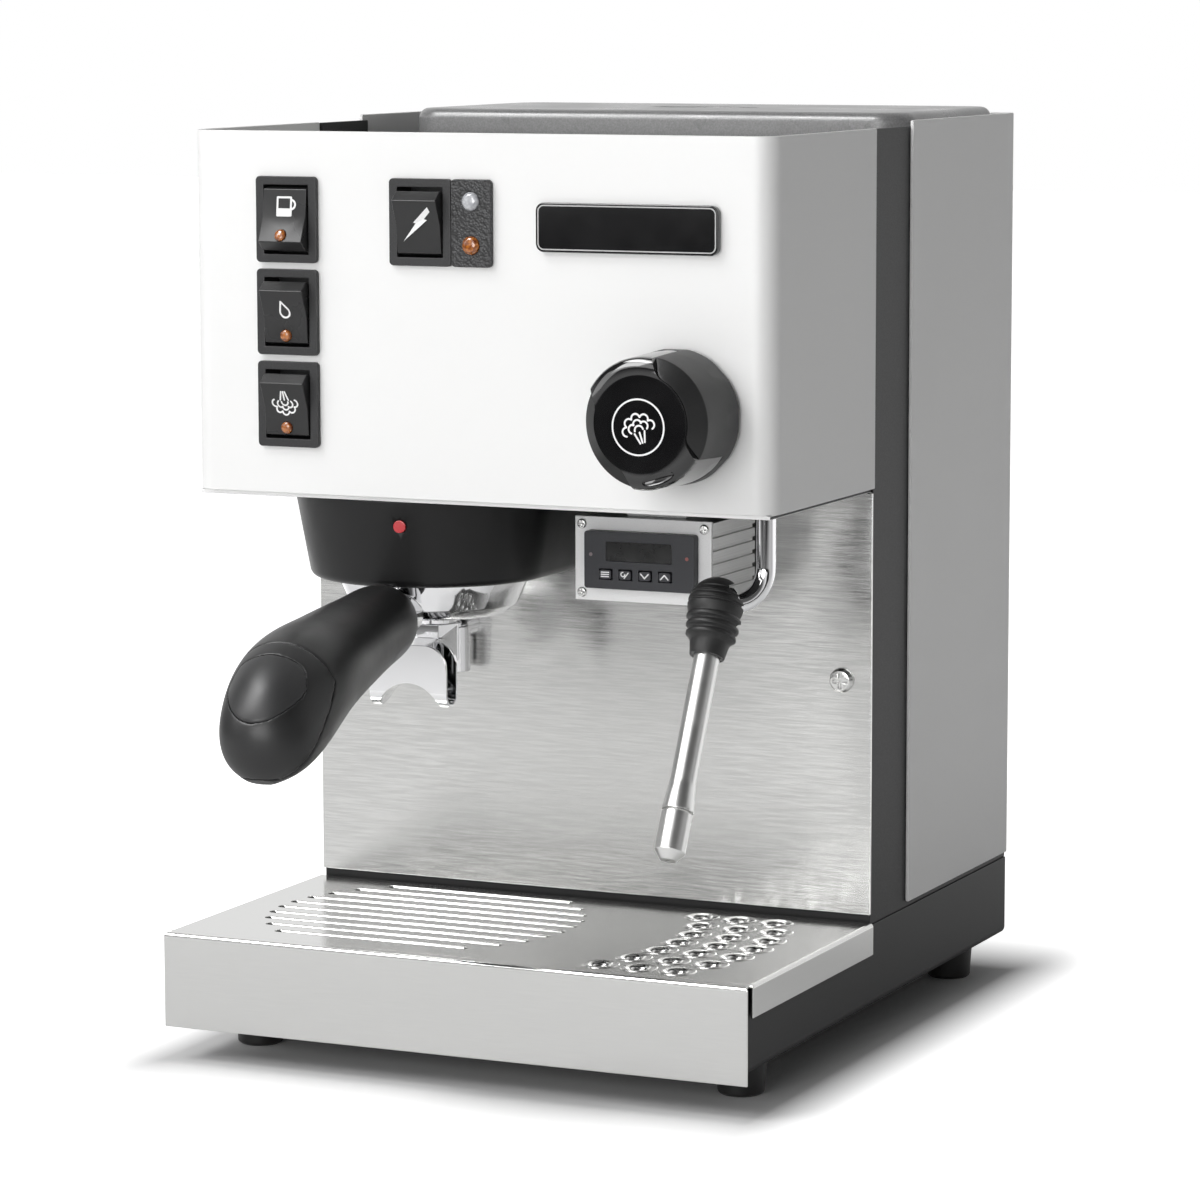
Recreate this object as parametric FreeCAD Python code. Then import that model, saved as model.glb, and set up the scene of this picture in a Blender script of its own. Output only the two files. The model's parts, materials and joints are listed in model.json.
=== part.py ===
import FreeCAD, Part
import math
import os

# Espresso machine with one boiler, a steam wand and a temperature controller, in millimetres.
# X runs right as seen from the front, Y to the rear and Z up from the counter.
# Depths are measured from a line across the body. At the end all pieces are moved together
# so that the middle of the whole machine's outline on the counter is the origin.

# Clearances
SLIDE_GAP = 0.3          # between pieces that slide or turn past each other
PIN_GAP = 0.05           # round a pin in its bore
FIT_GAP = 0.1            # between fixed pieces that sit side by side
TRAY_SIDE_GAP = 0.8      # each side of the drip tray in its bay
PASS_GAP = 1.5           # round a pipe or hose that passes through a sheet
CUT_OVER = 5.0           # how far a cut runs past the faces that it opens

# Sheet metal
SHEET = 1.5              # painted body panels
THIN_SHEET = 1.0         # stainless panels

# Body
BODY_WIDTH = 235.0       # across the rear panel
HOOD_STEP = 0.5          # the hood is narrower by this on each side
BASE_STEP = 1.0          # so are the base and the splash panel, by this
COVER_STEP = 0.75        # the drip cover stands out by this on each side
SPLASH_Y = -8.8          # front face of the splash panel
HOOD_REACH = 98.6        # splash panel to the hood's front
HOOD_TUCK = 1.6          # splash panel's face to the hood's rear edge
APRON_REACH = 124.0      # splash panel to the front of the drip cover
PANEL_SETBACK = 38.4     # splash panel to the rear panel's front edge
BODY_DEPTH = 154.0       # splash panel to the rear face
BREW_HEIGHT = 165.6      # base to the top of the group's shelf
HOOD_HEIGHT = 133.7
PANEL_RISE = 2.0         # rear panel above the hood
PANEL_LIFT = 2.2         # rear panel above the base
SPLASH_LIFT = 4.1        # splash panel above the base
CHEEK_STEP = 2.2         # inner frame below the rear panel's top
PANEL_BEND_RADIUS = 4.0
HOOD_BEND_RADIUS = 8.5
HOOD_FLANGE = 9.0
SCREW_INSET = 11.8       # splash panel's edge to its screws
SCREW_RISE = 93.0        # base to those screws
SCREW_HEAD_RADIUS = 4.7

# Base
FOOT_HEIGHT = 15.4
FOOT_RADIUS = 9.6
FOOT_TAPER = 1.0
FOOT_CHAMFER = 1.0
FOOT_SIDE_INSET = 17.2
FOOT_FRONT_INSET = 38.4
FOOT_REAR_INSET = 20.8
BASE_HEIGHT = 31.8
BASE_EDGE_RADIUS = 3.0
GLAND_X = 70.0
GLAND_RISE = 16.6        # above the base's underside
GLAND_RADIUS = 8.0
GLAND_BORE = 3.5
GLAND_COLLAR = 8.0       # length outside the base
GLAND_NUT = 6.0          # length inside the base
GLAND_LIP = 3.0

# Drip tray and its cover
APRON_DROP = 2.8         # apron's lower edge below the base
COVER_FLANGE_DROP = 12.2
COVER_BEND_RADIUS = 1.6
FLANGE_SETBACK = 5.5     # apron face to the front end of each side flange
TRAY_CORNER_RADIUS = 8.0
SLOT_COUNT = 10
SLOT_PITCH = 10.24
SLOT_WIDTH = 4.0
SLOT_CIRCLE_RADIUS = 61.0
SLOT_SHIFT_X = 1.2       # slot circle right of the group axis
SLOT_SHIFT_Y = 4.4       # and behind the middle of the cover
HOLE_ROWS = 7
HOLE_COLUMNS = 3
HOLE_ROW_PITCH = 15.4
HOLE_COLUMN_PITCH = 15.1
HOLE_ARC_RADIUS = 103.5  # middle column, about its own centre
HOLE_SHIFT_X = 18.8      # that centre right of the slot circle's
HOLE_SHIFT_Y = -0.6      # and behind the middle of the cover
HOLE_RADIUS = 2.9
DIMPLE_RADIUS = 6.4

# Cup tray, water tank and lid
CUP_TRAY_DROP = 15.9     # hood's top to the tray's floor
CUP_TRAY_WALL = 10.0
CUP_TRAY_CORNER = 7.0
DECK_DROP = 11.0         # rear panel's top to the tank deck
TANK_LEFT_INSET = 24.5
TANK_RIGHT_INSET = 10.5
TANK_FRONT_INSET = 9.4
TANK_REAR_INSET = 9.2
TANK_DEPTH = 131.5       # below the deck
TANK_WALL = 2.0
TANK_RIM = 3.6           # width of the rim that hangs on the deck
TANK_RIM_HEIGHT = 3.2
TANK_CORNER_RADIUS = 10.0
TANK_WALL_REACH = 9.2    # the wall in front of the tank, below the socket's bracket
LID_OVERHANG = 1.4       # beyond the tank rim on every side
LID_HEIGHT = 9.8
LID_CORNER_RADIUS = 13.0
LID_EDGE_RADIUS = 4.0
LID_WALL = 2.4
GRIP_LENGTH = 47.0
GRIP_WIDTH = 16.0
GRIP_DEPTH = 3.0
OUTLET_X = 62.0
OUTLET_SETBACK = 19.0    # behind the tank's front
OUTLET_RADIUS = 5.0
OUTLET_WALL = 2.0
OUTLET_LENGTH = 8.0
SOCKET_DROP = 6.0        # tank outlet to the socket's bracket
SOCKET_HEIGHT = 12.0
SOCKET_FLOOR = 5.0
SOCKET_BRACKET = 14.0    # bracket reach from the socket's axis

# Brew group
GROUP_X = -43.0
GROUP_REACH = 46.2       # splash panel to the group axis
GROUP_COVER_SHIFT = -1.0
GROUP_COVER_HEIGHT = 32.9
GROUP_COVER_RADIUS = 45.4
GROUP_COVER_TOP_RADIUS = 51.4
GROUP_COVER_WALL = 2.0
GROUP_COVER_EDGE = 3.6
GROUP_LIP_RADIUS = 40.6
MARKER_RADIUS = 2.35
MARKER_PROUD = 0.8
MARKER_ANGLE = 13.0
MARKER_DROP = 9.3        # below the shelf
BELL_RADIUS = 42.0
BELL_HEIGHT = 29.9
RIM_RADIUS = 35.0        # portafilter rim
RIM_DROP = 15.1          # below the shelf
EAR_REACH = 4.6
EAR_DROP = 25.7          # shelf to the ears' underside
EAR_HEIGHT = 5.2
EAR_SPREAD = 38.0        # degrees of each ear
EAR_ENTRY = 10.0         # degrees by which each entry slot is wider
UNLOCK_TURN = 45.0
BORE_GAP = 0.8           # group bore round the rim
NECK_BORE_RADIUS = 30.0  # group neck through the shelf
GASKET_HEIGHT = 6.7
SCREEN_RADIUS = 28.6
SCREEN_THICKNESS = 1.5
SCREEN_DROP = 3.0        # group's ceiling to the screen
SCREEN_HOLES = 12
SCREEN_RINGS = (10.0, 19.0)
SCREEN_HOLE_RADIUS = 1.2

# Portafilter
BOWL_RADIUS = 36.0
BOWL_MID_RADIUS = 32.0
BOWL_FOOT_RADIUS = 28.0
BOWL_TOP_DROP = 18.6     # below the rim
BOWL_MID_DROP = 28.2
BOWL_DEPTH = 32.2
BOWL_WALL = 3.6
BOWL_HOLE_RADIUS = 3.0
BASKET_GAP = 0.8         # basket inside the bowl
BASKET_LIP = 0.8
BASKET_DEPTH = 24.0
BASKET_WALL = 0.8
BASKET_FOOT = 6.0        # height of the basket's tapered foot
BASKET_TAPER = 4.0
HANDLE_TURN = 5.0        # degrees to the right of straight ahead
HANDLE_NECK_RADIUS = 8.0
HANDLE_TANG_RADIUS = 5.0
HANDLE_TANG_LENGTH = 24.0
HANDLE_ROOT = 47.5       # group axis to the start of the grip
HANDLE_DROP = 29.2       # rim to the grip's axis
HANDLE_LENGTH = 116.8
HANDLE_FALL = 41.6       # of the grip's end
HANDLE_WIDTH = 41.1
HANDLE_HEIGHT = 42.4
SEAM_INSET = 22.0        # grip's end to the end cap's seam, at its sides
SEAM_DROP = 8.5          # grip's axis to the top of each side seam
SEAM_FOOT = 1.5          # grip's end to the foot of each side seam
SEAM_LEAN = 14.0         # degrees that the seam leans forward
PLATE_LENGTH = 28.0
PLATE_WIDTH = 31.4
PLATE_CORNER = 3.0
PLATE_DEPTH = 6.6        # at its middle
PLATE_INSET = 15.0       # grip's end to the plate's middle
PLATE_DROP = 18.0
PLATE_SLOPE = 34.8       # degrees that the plate looks up
PLATE_REACH = 17.6       # grip's middle to the plate's face
BOSS_RADIUS = 8.4
BOSS_HEIGHT = 4.0
SPOUT_HEIGHT = 33.0      # bowl's underside to the spout's lips
SPOUT_AHEAD = 22.0       # group axis to the middle of the chutes
SPOUT_SPAN = 31.0        # across both chutes
SPOUT_SHOULDER = 9.0
SPOUT_ARCH_RADIUS = 12.6
SPOUT_ARCH_DROP = 3.2    # arch centre below the lips
CHUTE_WIDTH = 12.0
CHUTE_WALL = 1.25
HUB_HEIGHT = 9.0
HUB_WIDTH = 13.0
NUT_FLATS = 17.0
NUT_HEIGHT = 8.0

# Steam wand
PIPE_X = 96.4
PIPE_SETBACK = 43.8      # hood's front to the pipe
PIPE_RADIUS = 3.6
PIPE_BEND = 13.0
PIPE_NUT = 1.0           # fitting's wall round the pipe
BALL_LEFT = 12.4         # ball left of the pipe
BALL_AHEAD = 16.9        # and in front of it
BALL_DROP = 35.3         # below the shelf
BALL_RADIUS = 4.2
SEAT_THICKNESS = 0.9
SEAT_STEP = 0.7          # the seat ends this far behind its cup's edge
SOCKET_WALL = 0.9
SOCKET_BACK = 0.6
SOCKET_LIP = 3.7         # cup's edge behind the ball centre
WAND_TILT = 27.0         # degrees forward of straight down
WAND_RADIUS = 4.75
WAND_LENGTH = 78.0       # ball centre to the nozzle
WAND_NECK_RADIUS = 3.0
WAND_NECK_LENGTH = 9.8
FLARE_RADIUS = 5.8
FLARE_LENGTH = 11.0
FLARE_EDGE = 1.0
NOZZLE_LENGTH = 18.6
NOZZLE_STEP = 0.15
NOZZLE_GROOVE = 0.8
NOZZLE_TAPER = 3.4
NOZZLE_TIP_RADIUS = 2.9
STEAM_HOLE_RADIUS = 0.9
STEAM_HOLE_DEPTH = 8.0
BOOT_RADIUS = 10.6
BOOT_WALL = 1.3
BOOT_LENGTH = 19.6
BOOT_FLOOR = 10.8        # ball centre to where the boot grips the tube
BOOT_FOOT_RADIUS = 6.4
BOOT_RIBS = 3
BOOT_RIB_START = 3.9
BOOT_RIB_PITCH = 3.2
BOOT_RIB_HEIGHT = 0.9
BOOT_RIB_STEP = 0.45     # each rib is smaller than the one above
BOOT_GROOVES = 3         # round the dome
BOOT_GROOVE_PITCH = 2.7
BOOT_GROOVE_RADIUS = 0.55
BOOT_WINDOW = 16.6       # across the opening for the pipe
BOOT_WINDOW_START = 1.5

# Steam knob and valve
KNOB_X = 81.0
KNOB_RISE = 34.5         # above the shelf
KNOB_RADIUS = 24.4
KNOB_FACE_RADIUS = 23.4
KNOB_DEPTH = 33.0
KNOB_GAP = 1.5           # behind the knob
KNOB_EDGE = 1.0
KNOB_FLATS = 8
KNOB_FLAT_DEPTH = 0.4
KNOB_BEVEL = 5.0         # depth of the bevel beside the cap
KNOB_CAP_PROUD = 0.8
KNOB_CAP_RADIUS = 17.7
KNOB_CAP_DEPTH = 12.0
KNOB_BAND = 26.0         # width of the cap's two wings
KNOB_BAND_ANGLE = 25.0   # the wings lean left at the top
KNOB_BLEND = 6.0         # radius between wings and disc
KNOB_WING_DEPTH = 26.0
KNOB_WING = 4.0          # thickness of the wings
STEM_RADIUS = 4.0
STEM_LENGTH = 52.0
STEM_SOCKET = 16.5       # stem's length inside the knob
STEM_PASS = 2.0          # round the stem in the hood
VALVE_WIDTH = 20.0
VALVE_LENGTH = 42.0
VALVE_SETBACK = 8.0      # behind the hood's sheet
VALVE_END = 8.0          # solid end behind the stem
VALVE_POST_INSET = 4.0

# Rocker switches, indicators and badge
SWITCH_INSET = 41.9      # body's left side to the middle of the left switches
POWER_X = -20.6
SWITCH_DROP = 32.4       # hood's top to the middle of the upper switches
SWITCH_PITCH = 34.0
BEZEL_WIDTH = 25.0
BEZEL_HEIGHT = 31.6
BEZEL_PROUD = 2.2
BEZEL_CORNER = 1.6
APERTURE_WIDTH = 18.4
APERTURE_HEIGHT = 25.4
APERTURE_DEPTH = 9.4
HOUSING_WALL = 1.5
HOUSING_DEPTH = 17.0
ROCKER_ARC = 12.3
ROCKER_PIVOT = 1.4       # behind the hood's face
ROCKER_RIDGE = 6.6       # pivot to each ridge line
ROCKER_RIDGE_RISE = 9.9  # pivot to each ridge line, up or down
ROCKER_VALLEY = 5.1
ROCKER_EDGE = 2.0        # pivot to the outer edges, forward
ROCKER_BACK = 4.6        # pivot to the back
ROCKER_BACK_RISE = 8.0
ROCKER_TILT = 14.0
ROCKER_PIN = 1.5
ROCKER_PIN_LENGTH = 1.0
LED_RADIUS = 2.2
LED_DROP = 7.3           # below the rocker's middle
LED_DEPTH = 1.4
LED_PROUD = 0.4
INDICATOR_WIDTH = 16.0
INDICATOR_SPREAD = 15.9  # between the two lamps
INDICATOR_RADIUS = 3.4
INDICATOR_DEPTH = 8.2
LENS_EDGE = 0.4
LENS_DOME = 1.7
BADGE_X = 61.5
BADGE_DROP = 33.2        # hood's top to the badge's middle
BADGE_WIDTH = 71.0
BADGE_HEIGHT = 17.7
BADGE_THICKNESS = 2.6
BADGE_CORNER = 3.0

# Temperature controller
CONTROLLER_X = 44.8
CONTROLLER_DROP = 23.3   # shelf to the middle of its face
CONTROLLER_SETBACK = 49.4
FACE_WIDTH = 55.2
FACE_HEIGHT = 31.4
FACE_THICKNESS = 1.6
BOX_INSET = 0.9          # the box is smaller than its face plate
BOX_LENGTH = 42.0
BOX_GROOVES = 5
BOX_GROOVE_WIDTH = 1.6
BOX_GROOVE_DEPTH = 1.0
HANGER_WIDTH = 24.0
HANGER_LENGTH = 20.0
DISPLAY_WIDTH = 44.4
DISPLAY_HEIGHT = 21.4
DISPLAY_PROUD = 4.0
DISPLAY_CORNER = 1.2
WINDOW_WIDTH = 26.6
WINDOW_HEIGHT = 7.2
WINDOW_RISE = 3.4        # window centre above the display centre
WINDOW_SINK = 0.3
WINDOW_THICKNESS = 1.3
KEY_COUNT = 4
KEY_PITCH = 8.0
KEY_WIDTH = 4.8
KEY_HEIGHT = 3.4
KEY_CORNER = 0.9
KEY_DROP = 5.2           # key row below the display centre
KEY_SHIFT = -1.4
KEY_PROUD = 0.5
KEY_DEPTH = 2.2
KEY_TRAVEL = 1.0         # room behind each key
FACE_SCREW_INSET = 2.9
FACE_SCREW_RADIUS = 1.9

# Inner pieces
BOILER_RADIUS = 33.0
BOILER_WAIST = 2.0       # wall set in from the radius
BOILER_RIM = 1.5         # flanges stand out by this
BOILER_FLANGE = 6.0
BOILER_HEIGHT = 68.0
BOILER_RISE = 9.0        # above the shelf
ELEMENT_RADIUS = 13.0
ELEMENT_HEIGHT = 4.0
POST_RADIUS = 3.0
POST_HEIGHT = 12.0
POST_OFFSET = 7.0
THERMOSTAT_RING = 23.0
THERMOSTAT_RADIUS = 7.5
THERMOSTAT_HEIGHT = 6.0
THERMOSTAT_STEM_RADIUS = 3.5
THERMOSTAT_STEM_HEIGHT = 5.0
PUMP_X = 20.0
PUMP_REAR_INSET = 61.2   # rear face to the pump's axis
PUMP_RISE = 44.8         # base to the pump's axis
PUMP_RADIUS = 19.0
PUMP_LENGTH = 56.0
PUMP_INLET_RADIUS = 4.0
PUMP_INLET_LENGTH = 14.0
PUMP_COLLAR_RADIUS = 9.0
PUMP_COLLAR_LENGTH = 4.0
PUMP_HEAD_RADIUS = 11.0
PUMP_HEAD_LENGTH = 8.0
PUMP_OUTLET_RADIUS = 5.0
PUMP_OUTLET_LENGTH = 12.0
BRACKET_LENGTH = 48.0
BRACKET_WIDTH = 52.0
BRACKET_SHEET = 2.0
BRACKET_LEG_OFFSET = 18.0
SOLENOID_X = 48.0
SOLENOID_BEHIND = 16.0   # behind the group axis
SOLENOID_FOOT = 26.0
SOLENOID_FOOT_HEIGHT = 14.0
SOLENOID_WIDTH = 30.0
SOLENOID_LENGTH = 34.0
SOLENOID_HEIGHT = 32.0
SOLENOID_TIP_RADIUS = 5.0
SOLENOID_TIP_HEIGHT = 8.0
HOSE_RADIUS = 4.0
HOSE_BEND = 7.0
HOSE_DROP = 30.0         # socket to the suction hose's level run
HOSE_SIDE = 22.0         # pump inlet to the suction hose's drop
FEED_SIDE = 14.0         # pump outlet to the feed hose's run
FEED_LANE_Y = 12.0       # feed hose's rise behind the partition
FEED_RISE = 20.0         # boiler's bottom to the feed hose
FEED_TURN = 40.0         # partition to the feed hose's turn
DRAIN_SHIFT = -8.9       # right of the group axis
DRAIN_DROP = 53.3        # below the shelf
DRAIN_LENGTH = 22.3
DRAIN_RADIUS = 5.1
DRAIN_WALL = 1.8
DRAIN_STANDOFF = 4.0
DRAIN_NECK = 1.0         # tail thinner than the spout
DRAIN_TAIL = 6.0         # behind the partition

# Sizes that follow from the ones above
HOOD_WIDTH = BODY_WIDTH - 2 * HOOD_STEP
BASE_WIDTH = BODY_WIDTH - 2 * BASE_STEP
COVER_WIDTH = BODY_WIDTH + 2 * COVER_STEP
HOOD_IN = HOOD_WIDTH / 2 - SHEET
CHEEK_OUT = BODY_WIDTH / 2 - SHEET
HOOD_FRONT_Y = SPLASH_Y - HOOD_REACH
HOOD_REAR_Y = SPLASH_Y + HOOD_TUCK
APRON_Y = SPLASH_Y - APRON_REACH
PANEL_FRONT_Y = SPLASH_Y + PANEL_SETBACK
REAR_Y = SPLASH_Y + BODY_DEPTH
REAR_IN_Y = REAR_Y - SHEET
PARTITION_Y = SPLASH_Y + THIN_SHEET
BASE_FRONT_Y = APRON_Y + THIN_SHEET + SLIDE_GAP
DECK_FRONT_Y = PANEL_FRONT_Y + SLIDE_GAP + FIT_GAP
BASE_TOP = FOOT_HEIGHT + BASE_HEIGHT
COVER_TOP = BASE_TOP + SLIDE_GAP + THIN_SHEET
APRON_BOTTOM = FOOT_HEIGHT - APRON_DROP
SPLASH_BOTTOM = BASE_TOP + SPLASH_LIFT
PANEL_BOTTOM = BASE_TOP + PANEL_LIFT
SHELF_TOP = BASE_TOP + BREW_HEIGHT
SHELF_BOTTOM = SHELF_TOP - SHEET
HOOD_TOP = SHELF_TOP + HOOD_HEIGHT
PANEL_TOP = HOOD_TOP + PANEL_RISE
CHEEK_TOP = PANEL_TOP - CHEEK_STEP
DECK_TOP = PANEL_TOP - DECK_DROP
CUP_TRAY_FLOOR = HOOD_TOP - CUP_TRAY_DROP
SCREW_X = BASE_WIDTH / 2 - SCREW_INSET
SCREW_Z = BASE_TOP + SCREW_RISE
FOOT_X = BASE_WIDTH / 2 - FOOT_SIDE_INSET
FOOT_FRONT_Y = BASE_FRONT_Y + FOOT_FRONT_INSET
FOOT_REAR_Y = REAR_Y - FOOT_REAR_INSET
GLAND_Z = FOOT_HEIGHT + GLAND_RISE
TRAY_BOTTOM = FOOT_HEIGHT + SHEET + SLIDE_GAP
TRAY_HALF = BASE_WIDTH / 2 - SHEET - TRAY_SIDE_GAP
TRAY_FRONT_Y = BASE_FRONT_Y + SLIDE_GAP
TRAY_REAR_Y = SPLASH_Y - TRAY_SIDE_GAP
COVER_MIDDLE_Y = (APRON_Y + SPLASH_Y) / 2
SLOT_CIRCLE_X = GROUP_X + SLOT_SHIFT_X
SLOT_CIRCLE_Y = COVER_MIDDLE_Y + SLOT_SHIFT_Y
HOLE_ARC_X = SLOT_CIRCLE_X + HOLE_SHIFT_X
HOLE_ARC_Y = COVER_MIDDLE_Y + HOLE_SHIFT_Y
HOLE_COLUMN_SHIFT = -(HOLE_COLUMNS - 1) / 2 * HOLE_COLUMN_PITCH
TANK_LEFT = -BODY_WIDTH / 2 + TANK_LEFT_INSET
TANK_RIGHT = BODY_WIDTH / 2 - TANK_RIGHT_INSET
TANK_FRONT_Y = PANEL_FRONT_Y + TANK_FRONT_INSET
TANK_REAR_Y = REAR_Y - TANK_REAR_INSET
TANK_BOTTOM = DECK_TOP - TANK_DEPTH
TANK_RIM_BOTTOM = DECK_TOP + SLIDE_GAP
TANK_TOP = TANK_RIM_BOTTOM + TANK_RIM_HEIGHT
LID_BOTTOM = TANK_TOP + SLIDE_GAP
OUTLET_Y = TANK_FRONT_Y + OUTLET_SETBACK
SOCKET_Z = TANK_BOTTOM - OUTLET_LENGTH - SOCKET_DROP
GROUP_Y = SPLASH_Y - GROUP_REACH
GROUP_AXIS = FreeCAD.Vector(GROUP_X, GROUP_Y, 0)
GROUP_COVER_X = GROUP_X + GROUP_COVER_SHIFT
GROUP_COVER_BOTTOM = SHELF_BOTTOM - GROUP_COVER_HEIGHT
MARKER_Z = SHELF_BOTTOM - MARKER_DROP
BELL_BOTTOM = SHELF_BOTTOM - BELL_HEIGHT
EAR_BOTTOM = SHELF_BOTTOM - EAR_DROP
RIM_TOP = SHELF_BOTTOM - RIM_DROP
BASKET_TOP = RIM_TOP + BASKET_LIP
GASKET_BOTTOM = BASKET_TOP + SLIDE_GAP
GASKET_TOP = GASKET_BOTTOM + GASKET_HEIGHT
BOWL_BOTTOM = RIM_TOP - BOWL_DEPTH
BOSS_BOTTOM = BOWL_BOTTOM - BOSS_HEIGHT
SPOUT_LIP_Z = BOWL_BOTTOM - SPOUT_HEIGHT
NUT_BOTTOM = BOSS_BOTTOM - NUT_HEIGHT
SPOUT_TOP = NUT_BOTTOM + HUB_HEIGHT / 3
HANDLE_Z = RIM_TOP - HANDLE_DROP
BOILER_BOTTOM = SHELF_TOP + BOILER_RISE
BOILER_TOP = BOILER_BOTTOM + BOILER_HEIGHT
PIPE_Y = HOOD_FRONT_Y + PIPE_SETBACK
BALL_X = PIPE_X - BALL_LEFT
BALL_Y = PIPE_Y - BALL_AHEAD
BALL_Z = SHELF_BOTTOM - BALL_DROP
BALL = FreeCAD.Vector(BALL_X, BALL_Y, BALL_Z)
SEAT_INNER = BALL_RADIUS + SLIDE_GAP
SEAT_OUTER = SEAT_INNER + SEAT_THICKNESS
SOCKET_INNER = SEAT_OUTER + SLIDE_GAP
SOCKET_OUTER = SOCKET_INNER + SOCKET_WALL
BOOT_INSIDE = BOOT_RADIUS - BOOT_WALL
KNOB_Z = SHELF_TOP + KNOB_RISE
KNOB_REAR_Y = HOOD_FRONT_Y - KNOB_GAP
KNOB_FACE_Y = KNOB_REAR_Y - KNOB_DEPTH
VALVE_Y = HOOD_FRONT_Y + SHEET + VALVE_SETBACK
SWITCH_X = -BODY_WIDTH / 2 + SWITCH_INSET
SWITCH_TOP_Z = HOOD_TOP - SWITCH_DROP
INDICATOR_X = POWER_X + (BEZEL_WIDTH + INDICATOR_WIDTH) / 2 + FIT_GAP
ROCKER_WIDTH = APERTURE_WIDTH - 2 * SLIDE_GAP
BADGE_Z = HOOD_TOP - BADGE_DROP
CONTROLLER_Z = SHELF_BOTTOM - CONTROLLER_DROP
CONTROLLER_FACE_Y = HOOD_FRONT_Y + CONTROLLER_SETBACK
CONTROLLER_BACK_Y = CONTROLLER_FACE_Y + FACE_THICKNESS + BOX_LENGTH
DISPLAY_FACE_Y = CONTROLLER_FACE_Y - DISPLAY_PROUD
PUMP_Y = REAR_Y - PUMP_REAR_INSET
PUMP_Z = BASE_TOP + PUMP_RISE
PUMP_INLET_X = PUMP_X - PUMP_LENGTH / 2 - PUMP_COLLAR_LENGTH - PUMP_INLET_LENGTH
PUMP_OUTLET_X = PUMP_X + PUMP_LENGTH / 2 + PUMP_HEAD_LENGTH + PUMP_OUTLET_LENGTH
DRAIN_X = GROUP_X + DRAIN_SHIFT
DRAIN_Z = SHELF_BOTTOM - DRAIN_DROP - DRAIN_RADIUS
DRAIN_BOTTOM = DRAIN_Z + DRAIN_RADIUS - DRAIN_LENGTH


def vec(x, y, z):
    """Return a point or direction."""
    return FreeCAD.Vector(x, y, z)


UP = vec(0, 0, 1)
AHEAD = vec(0, -1, 0)
ACROSS = vec(1, 0, 0)


def block(x0, x1, y0, y1, z0, z1):
    """Return a square-edged block between two corners."""
    return Part.makeBox(x1 - x0, y1 - y0, z1 - z0, vec(x0, y0, z0))


def slab(x, z, width, height, y0, y1):
    """Return a block centred on a point of an upright face, between two depths."""
    return block(x - width / 2, x + width / 2, y0, y1, z - height / 2, z + height / 2)


def edges_along(solid, direction):
    """Return the straight edges that run along a direction."""
    found = []
    for edge in solid.Edges:
        if len(edge.Vertexes) == 2:
            run = edge.Vertexes[1].Point - edge.Vertexes[0].Point
            if run.Length > 1e-6 and run.cross(direction).Length < 1e-6 * run.Length:
                found.append(edge)
    return found


def rounded(solid, direction, radius):
    """Round every straight edge that runs along a direction."""
    return solid.makeFillet(radius, edges_along(solid, direction))


def rod(radius, start, end):
    """Return a round bar between two points."""
    run = end - start
    return Part.makeCylinder(radius, run.Length, start, run)


def post(radius, x, y, z0, z1):
    """Return an upright round bar."""
    return rod(radius, vec(x, y, z0), vec(x, y, z1))


def spindle(radius, x, z, y0, y1):
    """Return a round bar that runs front to back."""
    return rod(radius, vec(x, y0, z), vec(x, y1, z))


def taper(radius_start, radius_end, start, end):
    """Return a tapered bar between two points."""
    run = end - start
    return Part.makeCone(radius_start, radius_end, run.Length, start, run)


def joined(shapes):
    """Fuse shapes into one and drop the seams between their flat faces."""
    return shapes[0].fuse(shapes[1:]).removeSplitter()


def carried(shape, placement):
    """Return a copy of a shape moved by a placement."""
    moved = shape.copy()
    moved.Placement = placement.multiply(shape.Placement)
    return moved


def placed(shape, base, axis):
    """Stand a shape drawn about Z at a base point, along an axis."""
    return carried(shape, FreeCAD.Placement(base, FreeCAD.Rotation(UP, axis)))


def turned(profile, base, axis):
    """Turn a closed profile of (radius, height) points about an axis."""
    points = [vec(radius, 0, height) for radius, height in profile]
    face = Part.Face(Part.makePolygon(points + points[:1]))
    return placed(face.revolve(vec(0, 0, 0), UP, 360), base, axis)


def prism(points, run):
    """Extrude a flat outline."""
    return Part.Face(Part.makePolygon(points + points[:1])).extrude(run)


def piped(points, radius, bend):
    """Sweep a round section along straight runs joined by bends."""
    edges = []
    start = points[0]
    for corner, after in zip(points[1:-1], points[2:]):
        back = (start - corner).normalize()
        ahead = (after - corner).normalize()
        half = back.getAngle(ahead) / 2
        trim = bend / math.tan(half)
        middle = (back + ahead).normalize() * (bend / math.sin(half) - bend)
        enter = corner + back * trim
        leave = corner + ahead * trim
        edges.append(Part.makeLine(start, enter))
        edges.append(Part.Arc(enter, corner + middle, leave).toShape())
        start = leave
    edges.append(Part.makeLine(start, points[-1]))
    path = Part.Wire(edges)
    ring = Part.Wire(Part.makeCircle(radius, points[0], points[1] - points[0]))
    return path.makePipeShell([ring], True, False)


def about_group(shape):
    """Carry a shape drawn round Z, facing the front, to the group axis and the handle's turn."""
    return carried(shape, FreeCAD.Placement(GROUP_AXIS, FreeCAD.Rotation(UP, HANDLE_TURN)))


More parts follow.
